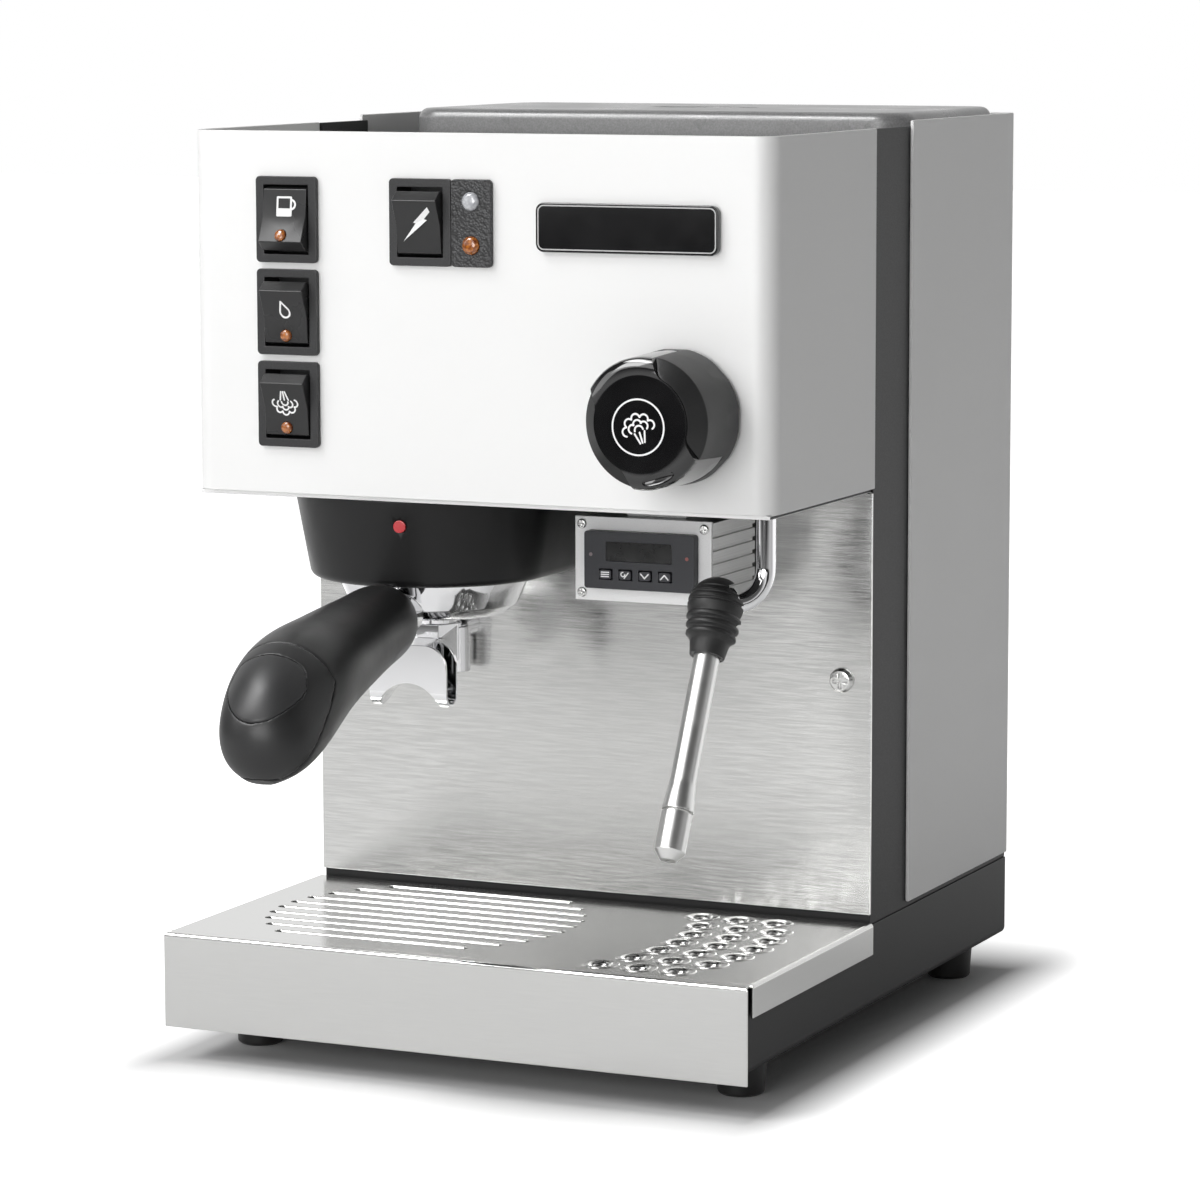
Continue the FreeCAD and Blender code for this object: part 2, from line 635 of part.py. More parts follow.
def base_pan():
    """Open pan under the whole machine, without a front wall."""
    half = BASE_WIDTH / 2
    inner = half - SHEET
    pan = block(-half, half, BASE_FRONT_Y, REAR_IN_Y, FOOT_HEIGHT, BASE_TOP)
    lower = [edge for edge in edges_along(pan, AHEAD) if edge.CenterOfMass.z < BASE_TOP - SHEET]
    pan = pan.makeFillet(BASE_EDGE_RADIUS, lower)
    hollow = block(-inner, inner, BASE_FRONT_Y - CUT_OVER, REAR_IN_Y - SHEET, FOOT_HEIGHT + SHEET,
                   BASE_TOP + CUT_OVER)
    gland = spindle(GLAND_RADIUS, GLAND_X, GLAND_Z, REAR_IN_Y - SHEET - CUT_OVER, REAR_IN_Y + CUT_OVER)
    return pan.cut([hollow, gland])


def feet():
    """Four rubber feet."""
    lower = FOOT_RADIUS - FOOT_TAPER
    profile = [(0, 0), (lower - FOOT_CHAMFER, 0), (lower, FOOT_CHAMFER), (FOOT_RADIUS, FOOT_HEIGHT),
               (0, FOOT_HEIGHT)]
    return Part.makeCompound([
        turned(profile, vec(side * FOOT_X, y, 0), UP)
        for side in (-1, 1)
        for y in (FOOT_FRONT_Y, FOOT_REAR_Y)
    ])


def cable_gland():
    """Collar in the rear of the base, with a nut inside and a bore."""
    wall = SHEET + 2 * FIT_GAP
    thread = GLAND_RADIUS - FIT_GAP
    lip = GLAND_RADIUS + GLAND_LIP
    profile = [(GLAND_BORE, -GLAND_NUT), (lip, -GLAND_NUT), (lip, 0), (thread, 0), (thread, wall),
               (lip, wall), (thread, wall + GLAND_COLLAR), (GLAND_BORE, wall + GLAND_COLLAR)]
    return turned(profile, vec(GLAND_X, REAR_IN_Y - SHEET - FIT_GAP, GLAND_Z), AHEAD * -1)


def drip_tray():
    """Open stainless tray that slides out to the front."""
    tray = block(-TRAY_HALF, TRAY_HALF, TRAY_FRONT_Y, TRAY_REAR_Y, TRAY_BOTTOM, BASE_TOP)
    tray = rounded(tray, UP, TRAY_CORNER_RADIUS)
    wall = THIN_SHEET
    hollow = block(-TRAY_HALF + wall, TRAY_HALF - wall, TRAY_FRONT_Y + wall, TRAY_REAR_Y - wall,
                   TRAY_BOTTOM + wall, BASE_TOP + CUT_OVER)
    return tray.cut(rounded(hollow, UP, TRAY_CORNER_RADIUS - wall))


def drain_slots():
    """Row of round-ended slots whose ends lie on a circle."""
    slots = []
    radius = SLOT_WIDTH / 2
    low = COVER_TOP - CUT_OVER
    high = COVER_TOP + CUT_OVER
    for index in range(SLOT_COUNT):
        offset = (index - (SLOT_COUNT - 1) / 2) * SLOT_PITCH
        y = SLOT_CIRCLE_Y + offset
        half = math.sqrt(SLOT_CIRCLE_RADIUS ** 2 - offset ** 2) - radius
        slots.append(block(SLOT_CIRCLE_X - half, SLOT_CIRCLE_X + half, y - radius, y + radius, low, high))
        slots += [post(radius, SLOT_CIRCLE_X + side * half, y, low, high) for side in (-1, 1)]
    return slots


def dimple_places():
    """Centres of the dimpled drain holes, in columns that follow an arc."""
    places = []
    for row in range(HOLE_ROWS):
        offset = (row - (HOLE_ROWS - 1) / 2) * HOLE_ROW_PITCH
        first = HOLE_ARC_X + math.sqrt(HOLE_ARC_RADIUS ** 2 - offset ** 2) + HOLE_COLUMN_SHIFT
        for column in range(HOLE_COLUMNS):
            places.append(vec(first + column * HOLE_COLUMN_PITCH, HOLE_ARC_Y + offset, COVER_TOP))
    return places


def drip_cover():
    """Folded stainless cover with a front apron, side flanges, slots and dimpled holes."""
    half = COVER_WIDTH / 2
    inner = half - THIN_SHEET
    rear = SPLASH_Y - TRAY_SIDE_GAP
    front = APRON_Y + THIN_SHEET
    below = APRON_BOTTOM - CUT_OVER
    flange = APRON_Y + FLANGE_SETBACK
    beyond = half + CUT_OVER
    fold_bottom = COVER_TOP - COVER_FLANGE_DROP
    fold = block(-half, half, APRON_Y, rear, APRON_BOTTOM, COVER_TOP)
    top = [edge for edge in fold.Edges if edge.BoundBox.ZMin > COVER_TOP - FIT_GAP
           and edge.BoundBox.YMin < rear - FIT_GAP]
    fold = fold.makeFillet(COVER_BEND_RADIUS, top)
    fold = fold.cut([
        block(-inner, inner, front, rear + CUT_OVER, below, COVER_TOP - THIN_SHEET),
        block(-beyond, beyond, front, rear + CUT_OVER, below, fold_bottom),
        block(-beyond, -inner, front, flange, below, COVER_TOP + CUT_OVER),
        block(inner, beyond, front, flange, below, COVER_TOP + CUT_OVER),
    ])
    dimples = [taper(HOLE_RADIUS, DIMPLE_RADIUS, place - UP * THIN_SHEET, place) for place in dimple_places()]
    return fold.cut(drain_slots() + dimples)


def chassis():
    """Welded inner frame: cheeks, partition, group shelf, tank wall and tank deck."""
    cheek_in = CHEEK_OUT - SHEET
    cheek_front = HOOD_REAR_Y + 2 * FIT_GAP
    back = PARTITION_Y + SHEET
    shelf_half = HOOD_IN - SLIDE_GAP
    wall_rear = DECK_FRONT_Y + SHEET
    pieces = []
    for left, right in ((-CHEEK_OUT, -cheek_in), (cheek_in, CHEEK_OUT)):
        pieces.append(block(left, right, cheek_front, REAR_IN_Y, BASE_TOP, DECK_TOP))
        pieces.append(block(left, right, cheek_front, wall_rear, BASE_TOP, CHEEK_TOP))
    pieces += [
        block(-CHEEK_OUT, CHEEK_OUT, PARTITION_Y, back, BASE_TOP, SHELF_BOTTOM),
        block(-shelf_half, shelf_half, PARTITION_Y, back, SHELF_BOTTOM, CUP_TRAY_FLOOR - THIN_SHEET),
        block(-shelf_half, shelf_half, HOOD_FRONT_Y + SHEET + SLIDE_GAP, back, SHELF_BOTTOM, SHELF_TOP),
        block(-cheek_in, cheek_in, DECK_FRONT_Y, wall_rear, SOCKET_Z - SHEET - TANK_WALL_REACH, DECK_TOP),
        block(-cheek_in, cheek_in, DECK_FRONT_Y, REAR_IN_Y, DECK_TOP - SHEET, DECK_TOP),
        block(OUTLET_X - SOCKET_BRACKET, OUTLET_X + SOCKET_BRACKET, DECK_FRONT_Y, OUTLET_Y + SOCKET_BRACKET,
              SOCKET_Z - SHEET, SOCKET_Z),
    ]
    mouth = block(TANK_LEFT - SLIDE_GAP, TANK_RIGHT + SLIDE_GAP, TANK_FRONT_Y - SLIDE_GAP,
                  TANK_REAR_Y + SLIDE_GAP, DECK_TOP - CUT_OVER, DECK_TOP + CUT_OVER)
    low = SHELF_BOTTOM - CUT_OVER
    high = SHELF_TOP + CUT_OVER
    near = PARTITION_Y - CUT_OVER
    far = back + CUT_OVER
    holes = [
        rounded(mouth, UP, TANK_CORNER_RADIUS),
        post(NECK_BORE_RADIUS, GROUP_X, GROUP_Y, low, high),
        post(PIPE_RADIUS + PASS_GAP, PIPE_X, PIPE_Y, low, high),
        post(HOSE_RADIUS + FIT_GAP, OUTLET_X, OUTLET_Y, SOCKET_Z - CUT_OVER, SOCKET_Z + CUT_OVER),
        spindle(HOSE_RADIUS + PASS_GAP, PUMP_X, BOILER_BOTTOM + FEED_RISE, near, far),
        spindle(DRAIN_RADIUS - DRAIN_NECK, DRAIN_X, DRAIN_Z, near, far),
    ]
    return joined(pieces).cut(holes)


def splash_panel():
    """Stainless panel behind the drip tray."""
    half = BASE_WIDTH / 2
    panel = block(-half, half, SPLASH_Y, PARTITION_Y, SPLASH_BOTTOM, SHELF_BOTTOM - FIT_GAP)
    return panel.cut(spindle(DRAIN_RADIUS - DRAIN_NECK, DRAIN_X, DRAIN_Z, SPLASH_Y - CUT_OVER,
                             PARTITION_Y + CUT_OVER))


def face_screw_places():
    """Corners of the controller's face plate that hold its screws."""
    across = FACE_WIDTH / 2 - FACE_SCREW_INSET
    rise = FACE_HEIGHT / 2 - FACE_SCREW_INSET
    return [vec(CONTROLLER_X + side * across, CONTROLLER_FACE_Y, CONTROLLER_Z + level * rise)
            for side in (-1, 1) for level in (-1, 1)]


def pan_screw(place, radius):
    """One pan-head screw with a cross recess, proportioned to its head."""
    profile = [(0, 0), (radius, 0), (radius, radius * 0.25), (radius * 0.8, radius * 0.5), (0, radius * 0.58)]
    head = turned(profile, place, AHEAD)
    arm = radius * 0.32
    reach = radius * 1.24
    bottom = place.y - radius * 0.25
    cross = [slab(place.x, place.z, wide, tall, place.y - radius, bottom)
             for wide, tall in ((reach, arm), (arm, reach))]
    return head.cut(cross)


def panel_screws():
    """Pan-head screws on the splash panel and the controller's face plate."""
    screws = [pan_screw(vec(side * SCREW_X, SPLASH_Y, SCREW_Z), SCREW_HEAD_RADIUS) for side in (-1, 1)]
    screws += [pan_screw(place, FACE_SCREW_RADIUS) for place in face_screw_places()]
    return Part.makeCompound(screws)


def switch_places():
    """Middle of each rocker switch on the hood's face, by name."""
    return {
        "brew": vec(SWITCH_X, HOOD_FRONT_Y, SWITCH_TOP_Z),
        "water": vec(SWITCH_X, HOOD_FRONT_Y, SWITCH_TOP_Z - SWITCH_PITCH),
        "steam": vec(SWITCH_X, HOOD_FRONT_Y, SWITCH_TOP_Z - 2 * SWITCH_PITCH),
        "power": vec(POWER_X, HOOD_FRONT_Y, SWITCH_TOP_Z),
    }


def lamp_places():
    """Middle of each indicator lamp on the hood's face."""
    return [vec(INDICATOR_X, HOOD_FRONT_Y, SWITCH_TOP_Z + side * INDICATOR_SPREAD / 2) for side in (-1, 1)]


def front_edges(solid):
    """Upright edges of a block's front face."""
    return [edge for edge in edges_along(solid, UP) if edge.CenterOfMass.y < solid.BoundBox.YMin + FIT_GAP]


def hood():
    """Painted front hood: a sheet bent round the front, with a folded lower edge."""
    half = HOOD_WIDTH / 2
    fold = half - HOOD_FLANGE
    rear = HOOD_REAR_Y + CUT_OVER
    below = SHELF_TOP - CUT_OVER
    floor = SHELF_TOP + SHEET
    shell = block(-half, half, HOOD_FRONT_Y, HOOD_REAR_Y, SHELF_TOP, HOOD_TOP)
    shell = shell.makeFillet(HOOD_BEND_RADIUS, front_edges(shell))
    void = block(-HOOD_IN, HOOD_IN, HOOD_FRONT_Y + SHEET, rear, floor, HOOD_TOP + CUT_OVER)
    cuts = [
        void.makeFillet(HOOD_BEND_RADIUS - SHEET, front_edges(void)),
        block(-fold, fold, HOOD_FRONT_Y + HOOD_FLANGE, rear, below, floor + CUT_OVER),
        block(-HOOD_IN, HOOD_IN, PARTITION_Y - FIT_GAP, rear, below, floor + CUT_OVER),
    ]
    near = HOOD_FRONT_Y - CUT_OVER
    far = HOOD_FRONT_Y + CUT_OVER
    margin = 2 * (HOUSING_WALL + FIT_GAP)
    for place in switch_places().values():
        cuts.append(slab(place.x, place.z, APERTURE_WIDTH + margin, APERTURE_HEIGHT + margin, near, far))
    for place in lamp_places():
        cuts.append(spindle(INDICATOR_RADIUS + 2 * FIT_GAP, place.x, place.z, near, far))
    cuts.append(spindle(STEM_RADIUS + STEM_PASS, KNOB_X, KNOB_Z, near, far))
    return shell.cut(cuts)


def rear_panel():
    """Painted rear panel: a sheet bent round the back and both sides."""
    half = BODY_WIDTH / 2
    shell = block(-half, half, PANEL_FRONT_Y, REAR_Y, PANEL_BOTTOM, PANEL_TOP)
    back = [edge for edge in edges_along(shell, UP) if edge.CenterOfMass.y > REAR_Y - FIT_GAP]
    shell = shell.makeFillet(PANEL_BEND_RADIUS, back)
    void = block(-CHEEK_OUT, CHEEK_OUT, PANEL_FRONT_Y - CUT_OVER, REAR_IN_Y, PANEL_BOTTOM - CUT_OVER,
                 PANEL_TOP + CUT_OVER)
    return shell.cut(void)


def cup_tray():
    """Shallow steel tray on top of the hood for warming cups."""
    half = CHEEK_OUT - SHEET - FIT_GAP
    front = HOOD_FRONT_Y + SHEET + SLIDE_GAP
    rear = DECK_FRONT_Y - FIT_GAP
    wall = THIN_SHEET
    rim = CUP_TRAY_FLOOR + CUP_TRAY_WALL
    tray = rounded(block(-half, half, front, rear, CUP_TRAY_FLOOR - wall, rim), UP, CUP_TRAY_CORNER)
    void = block(-half + wall, half - wall, front + wall, rear - wall, CUP_TRAY_FLOOR, rim + CUT_OVER)
    return tray.cut(rounded(void, UP, CUP_TRAY_CORNER - wall))


def tank_block(grow, z0, z1):
    """Block of the tank's plan, grown on every side, with its corners rounded to suit."""
    plan = block(TANK_LEFT - grow, TANK_RIGHT + grow, TANK_FRONT_Y - grow, TANK_REAR_Y + grow, z0, z1)
    return rounded(plan, UP, TANK_CORNER_RADIUS + grow)


def water_tank():
    """Lift-out tank that hangs by its rim, with an outlet under its floor."""
    floor = TANK_BOTTOM + TANK_WALL
    end = TANK_BOTTOM - OUTLET_LENGTH
    solids = [
        tank_block(0, TANK_BOTTOM, TANK_TOP),
        tank_block(TANK_RIM, TANK_RIM_BOTTOM, TANK_TOP),
        post(OUTLET_RADIUS, OUTLET_X, OUTLET_Y, end, floor),
    ]
    hollows = [
        tank_block(-TANK_WALL, floor, TANK_TOP + CUT_OVER),
        post(OUTLET_RADIUS - OUTLET_WALL, OUTLET_X, OUTLET_Y, end - CUT_OVER, floor + CUT_OVER),
    ]
    return joined(solids).cut(hollows)


def tank_lid():
    """Hollow lid with rounded edges and a shallow grip recess."""
    reach = TANK_RIM + LID_OVERHANG
    left = TANK_LEFT - reach
    right = TANK_RIGHT + reach
    front = TANK_FRONT_Y - reach
    rear = TANK_REAR_Y + reach
    top = LID_BOTTOM + LID_HEIGHT
    wall = LID_WALL
    lid = rounded(block(left, right, front, rear, LID_BOTTOM, top), UP, LID_CORNER_RADIUS)
    crown = [edge for edge in lid.Edges if edge.BoundBox.ZMin > top - FIT_GAP]
    lid = lid.makeFillet(LID_EDGE_RADIUS, crown)
    void = block(left + wall, right - wall, front + wall, rear - wall, LID_BOTTOM - CUT_OVER,
                 top - wall - GRIP_DEPTH)
    scale = FreeCAD.Matrix()
    scale.scale(GRIP_LENGTH / 2, GRIP_WIDTH / 2, GRIP_DEPTH)
    grip = Part.makeSphere(1.0, vec(0, 0, 0)).transformGeometry(scale)
    grip.translate(vec((left + right) / 2, (front + rear) / 2, top))
    return lid.cut([rounded(void, UP, LID_CORNER_RADIUS - wall), grip])


def cover_outline(radius, z):
    """Plan of the group cover: half a circle in front, straight sides to the splash panel."""
    rear = SPLASH_Y - FIT_GAP
    left = vec(GROUP_COVER_X - radius, GROUP_Y, z)
    right = vec(GROUP_COVER_X + radius, GROUP_Y, z)
    left_rear = vec(GROUP_COVER_X - radius, rear, z)
    right_rear = vec(GROUP_COVER_X + radius, rear, z)
    arc = Part.Arc(left, vec(GROUP_COVER_X, GROUP_Y - radius, z), right).toShape()
    return Part.Wire([arc, Part.makeLine(right, right_rear), Part.makeLine(right_rear, left_rear),
                      Part.makeLine(left_rear, left)])


def group_marker():
    """Coloured dot on the front of the group cover that shows where the handle locks."""
    angle = math.radians(MARKER_ANGLE)
    ahead = vec(math.sin(angle), -math.cos(angle), 0)
    share = (MARKER_Z - GROUP_COVER_BOTTOM) / GROUP_COVER_HEIGHT
    face = GROUP_COVER_RADIUS + share * (GROUP_COVER_TOP_RADIUS - GROUP_COVER_RADIUS)
    centre = vec(GROUP_COVER_X, GROUP_Y, MARKER_Z)
    return rod(MARKER_RADIUS, centre + ahead * (face - GROUP_COVER_WALL - MARKER_PROUD),
               centre + ahead * (face + MARKER_PROUD))


def group_cover():
    """Tapered moulding round the brew group, open at the back and underneath."""
    wall = GROUP_COVER_WALL
    bottom = GROUP_COVER_BOTTOM
    outer = Part.makeLoft([cover_outline(GROUP_COVER_RADIUS, bottom),
                           cover_outline(GROUP_COVER_TOP_RADIUS, SHELF_BOTTOM)], True, True)
    rear = SPLASH_Y - 2 * FIT_GAP
    lower = [edge for edge in outer.Edges if edge.BoundBox.ZMax < bottom + FIT_GAP
             and edge.BoundBox.YMin < rear]
    outer = outer.makeFillet(GROUP_COVER_EDGE, lower)
    inner = Part.makeLoft([cover_outline(GROUP_COVER_RADIUS - wall, bottom + wall),
                           cover_outline(GROUP_COVER_TOP_RADIUS - wall, SHELF_BOTTOM)], True, True)
    mouth = post(GROUP_LIP_RADIUS, GROUP_X, GROUP_Y, bottom - CUT_OVER, bottom + wall + CUT_OVER)
    return outer.cut([inner, mouth, group_marker()])


def ear_sector(inner, outer, z0, z1, spread, turn):
    """Two opposite ring sectors about the group axis, left and right of the handle."""
    ring = turned([(inner, z0), (outer, z0), (outer, z1), (inner, z1)], vec(0, 0, 0), UP)
    half = math.radians(spread / 2)
    far = 2 * outer * math.cos(half)
    rise = 2 * outer * math.sin(half)
    wedges = [prism([vec(0, 0, z0), vec(side * far, -rise, z0), vec(side * far, rise, z0)], UP * (z1 - z0))
              for side in (-1, 1)]
    sectors = ring.common(Part.makeCompound(wedges))
    sectors.rotate(vec(0, 0, 0), UP, turn)
    return about_group(sectors)


def group_head():
    """Heavy brew group: bell with an ear groove and entry slots, and a neck through the shelf."""
    bore = RIM_RADIUS + BORE_GAP
    groove = RIM_RADIUS + EAR_REACH + SLIDE_GAP
    ceiling = GASKET_TOP
    low = EAR_BOTTOM - SLIDE_GAP
    high = EAR_BOTTOM + EAR_HEIGHT + SLIDE_GAP
    neck = NECK_BORE_RADIUS - FIT_GAP
    plug = SCREEN_RADIUS - SCREEN_THICKNESS
    profile = [(0, ceiling - SCREEN_DROP), (plug, ceiling - SCREEN_DROP), (plug, ceiling), (bore, ceiling),
               (bore, high), (groove, high), (groove, low), (bore, low), (bore, BELL_BOTTOM),
               (BELL_RADIUS, BELL_BOTTOM), (BELL_RADIUS, SHELF_BOTTOM), (neck, SHELF_BOTTOM),
               (neck, BOILER_BOTTOM), (0, BOILER_BOTTOM)]
    bell = turned(profile, GROUP_AXIS, UP)
    slots = ear_sector(bore - BORE_GAP, groove, BELL_BOTTOM - CUT_OVER, low + FIT_GAP, EAR_SPREAD + EAR_ENTRY,
                       -UNLOCK_TURN)
    return bell.cut(slots)


def group_gasket():
    """Rubber ring that seals against the basket's lip."""
    inner = SCREEN_RADIUS + PASS_GAP
    outer = RIM_RADIUS + BORE_GAP
    profile = [(inner, GASKET_BOTTOM), (outer, GASKET_BOTTOM), (outer, GASKET_TOP), (inner, GASKET_TOP)]
    return turned(profile, GROUP_AXIS, UP)


def shower_screen():
    """Perforated screen under the group."""
    top = GASKET_TOP - SCREEN_DROP
    bottom = top - SCREEN_THICKNESS
    holes = []
    for ring in SCREEN_RINGS:
        for index in range(SCREEN_HOLES):
            angle = 2 * math.pi * index / SCREEN_HOLES
            holes.append(post(SCREEN_HOLE_RADIUS, GROUP_X + ring * math.cos(angle),
                              GROUP_Y + ring * math.sin(angle), bottom - CUT_OVER, top + CUT_OVER))
    return post(SCREEN_RADIUS, GROUP_X, GROUP_Y, bottom, top).cut(holes)


def boiler():
    """Boiler with flanges at both ends, on the group's neck."""
    rim = BOILER_RADIUS + BOILER_RIM
    waist = BOILER_RADIUS - BOILER_WAIST
    lower = BOILER_BOTTOM + BOILER_FLANGE
    upper = BOILER_TOP - BOILER_FLANGE
    profile = [(0, BOILER_BOTTOM), (rim, BOILER_BOTTOM), (rim, lower), (waist, lower), (waist, upper),
               (rim, upper), (rim, BOILER_TOP), (0, BOILER_TOP)]
    return turned(profile, GROUP_AXIS, UP)


def heating_element():
    """Element flange on the boiler, with two posts."""
    plate = BOILER_TOP + ELEMENT_HEIGHT
    flange = post(ELEMENT_RADIUS, GROUP_X, GROUP_Y, BOILER_TOP, plate)
    posts = [post(POST_RADIUS, GROUP_X + side * POST_OFFSET, GROUP_Y, BOILER_TOP, plate + POST_HEIGHT)
             for side in (-1, 1)]
    return joined([flange] + posts)


def thermostats():
    """Three bimetal thermostats on the boiler's top."""
    discs = []
    cap_top = BOILER_TOP + THERMOSTAT_HEIGHT
    for angle in (60, 180, 300):
        x = GROUP_X + THERMOSTAT_RING * math.cos(math.radians(angle))
        y = GROUP_Y + THERMOSTAT_RING * math.sin(math.radians(angle))
        cap = post(THERMOSTAT_RADIUS, x, y, BOILER_TOP, cap_top)
        stem = post(THERMOSTAT_STEM_RADIUS, x, y, BOILER_TOP, cap_top + THERMOSTAT_STEM_HEIGHT)
        discs.append(joined([cap, stem]))
    return Part.makeCompound(discs)


def pump():
    """Vibration pump: a coil with a brass outlet and a plastic inlet."""
    half = PUMP_LENGTH / 2
    collar = half + PUMP_COLLAR_LENGTH
    inlet = collar + PUMP_INLET_LENGTH
    head = half + PUMP_HEAD_LENGTH
    outlet = head + PUMP_OUTLET_LENGTH
    profile = [(0, -inlet), (PUMP_INLET_RADIUS, -inlet), (PUMP_INLET_RADIUS, -collar),
               (PUMP_COLLAR_RADIUS, -collar), (PUMP_COLLAR_RADIUS, -half), (PUMP_RADIUS, -half),
               (PUMP_RADIUS, half), (PUMP_HEAD_RADIUS, half), (PUMP_HEAD_RADIUS, head),
               (PUMP_OUTLET_RADIUS, head), (PUMP_OUTLET_RADIUS, outlet), (0, outlet)]
    return turned(profile, vec(PUMP_X, PUMP_Y, PUMP_Z), ACROSS)


def pump_bracket():
    """Folded bracket that stands on the base and cradles the pump."""
    floor = FOOT_HEIGHT + SHEET
    long = BRACKET_LENGTH / 2
    wide = BRACKET_WIDTH / 2
    thin = BRACKET_SHEET / 2
    solids = [block(PUMP_X - long, PUMP_X + long, PUMP_Y - wide, PUMP_Y + wide, floor, floor + BRACKET_SHEET)]
    for side in (-1, 1):
        x = PUMP_X + side * BRACKET_LEG_OFFSET
        solids.append(block(x - thin, x + thin, PUMP_Y - wide, PUMP_Y + wide, floor, PUMP_Z))
    seat = rod(PUMP_RADIUS, vec(PUMP_X - long, PUMP_Y, PUMP_Z), vec(PUMP_X + long, PUMP_Y, PUMP_Z))
    return joined(solids).cut(seat)


def solenoid_valve():
    """Three-way valve: a coil on a brass block that stands on the shelf."""
    y = GROUP_Y + SOLENOID_BEHIND
    foot = SOLENOID_FOOT / 2
    wide = SOLENOID_WIDTH / 2
    long = SOLENOID_LENGTH / 2
    coil = SHELF_TOP + SOLENOID_FOOT_HEIGHT
    top = coil + SOLENOID_HEIGHT
    return joined([
        block(SOLENOID_X - foot, SOLENOID_X + foot, y - foot, y + foot, SHELF_TOP, coil),
        block(SOLENOID_X - wide, SOLENOID_X + wide, y - long, y + long, coil, top),
        post(SOLENOID_TIP_RADIUS, SOLENOID_X, y, coil, top + SOLENOID_TIP_HEIGHT),
    ])


def drain_spout():
    """Down-turned drain pipe on the splash panel."""
    y = SPLASH_Y - DRAIN_RADIUS - DRAIN_STANDOFF
    elbow = vec(DRAIN_X, y, DRAIN_Z)
    tail = PARTITION_Y + SHEET + DRAIN_TAIL
    solids = [
        post(DRAIN_RADIUS, DRAIN_X, y, DRAIN_BOTTOM, DRAIN_Z),
        Part.makeSphere(DRAIN_RADIUS, elbow),
        spindle(DRAIN_RADIUS, DRAIN_X, DRAIN_Z, y, SPLASH_Y),
        spindle(DRAIN_RADIUS - DRAIN_NECK - FIT_GAP, DRAIN_X, DRAIN_Z, y, tail),
    ]
    bore = post(DRAIN_RADIUS - DRAIN_WALL, DRAIN_X, y, DRAIN_BOTTOM - CUT_OVER, DRAIN_Z)
    return joined(solids).cut(bore)


def feed_hoses():
    """Tank socket and suction hose, and the hose from the pump to the boiler."""
    inner = OUTLET_RADIUS + 2 * SLIDE_GAP
    outer = inner + OUTLET_WALL
    cup = [(0, 0), (outer, 0), (outer, SOCKET_HEIGHT), (inner, SOCKET_HEIGHT), (inner, SOCKET_FLOOR),
           (0, SOCKET_FLOOR)]
    socket = turned(cup, vec(OUTLET_X, OUTLET_Y, SOCKET_Z), UP)
    low = SOCKET_Z - HOSE_DROP
    side = PUMP_INLET_X - HOSE_SIDE
    suction = piped([vec(OUTLET_X, OUTLET_Y, SOCKET_Z + FIT_GAP), vec(OUTLET_X, OUTLET_Y, low),
                     vec(side, OUTLET_Y, low), vec(side, PUMP_Y, low), vec(side, PUMP_Y, PUMP_Z),
                     vec(PUMP_INLET_X, PUMP_Y, PUMP_Z)], HOSE_RADIUS, HOSE_BEND)
    rise = BOILER_BOTTOM + FEED_RISE
    lane = PUMP_OUTLET_X + FEED_SIDE
    feed = piped([vec(PUMP_OUTLET_X, PUMP_Y, PUMP_Z), vec(lane, PUMP_Y, PUMP_Z),
                  vec(lane, FEED_LANE_Y, PUMP_Z), vec(lane, FEED_LANE_Y, rise),
                  vec(PUMP_X, FEED_LANE_Y, rise), vec(PUMP_X, PARTITION_Y - FEED_TURN, rise),
                  vec(GROUP_X + BOILER_RADIUS - BOILER_WAIST, GROUP_Y, rise)], HOSE_RADIUS, HOSE_BEND)
    return Part.makeCompound([joined([socket, suction]), feed.cut(boiler())])


def steam_valve():
    """Valve block on a post, with a bore for the knob's stem and a side outlet."""
    end = VALVE_Y + VALVE_LENGTH
    half = VALVE_WIDTH / 2 - VALVE_POST_INSET
    body = slab(KNOB_X, KNOB_Z, VALVE_WIDTH, VALVE_WIDTH, VALVE_Y, end)
    foot = block(KNOB_X - half, KNOB_X + half, VALVE_Y + VALVE_POST_INSET, end, SHELF_TOP, KNOB_Z)
    bore = spindle(STEM_RADIUS + PIN_GAP, KNOB_X, KNOB_Z, VALVE_Y - CUT_OVER, end - VALVE_END)
    return joined([body, foot]).cut(bore)


def knob_stem():
    """Valve stem that turns with the knob."""
    start = KNOB_REAR_Y - STEM_SOCKET
    return spindle(STEM_RADIUS, KNOB_X, KNOB_Z, start, start + STEM_LENGTH)


def knob_turning(face_profile):
    """Tapered turning with shallow flats, closed at its face by a given profile."""
    profile = [(0, 0), (KNOB_RADIUS - KNOB_EDGE, 0), (KNOB_RADIUS, KNOB_EDGE)] + face_profile
    blank = turned(profile, vec(KNOB_X, KNOB_REAR_Y, KNOB_Z), AHEAD)
    corner = (KNOB_RADIUS - KNOB_FLAT_DEPTH) / math.cos(math.pi / KNOB_FLATS)
    outline = []
    for index in range(KNOB_FLATS):
        angle = 2 * math.pi * (index + 0.5) / KNOB_FLATS
        outline.append(vec(KNOB_X + corner * math.cos(angle), KNOB_REAR_Y + CUT_OVER,
                           KNOB_Z + corner * math.sin(angle)))
    return blank.common(prism(outline, AHEAD * (KNOB_DEPTH + 2 * CUT_OVER)))


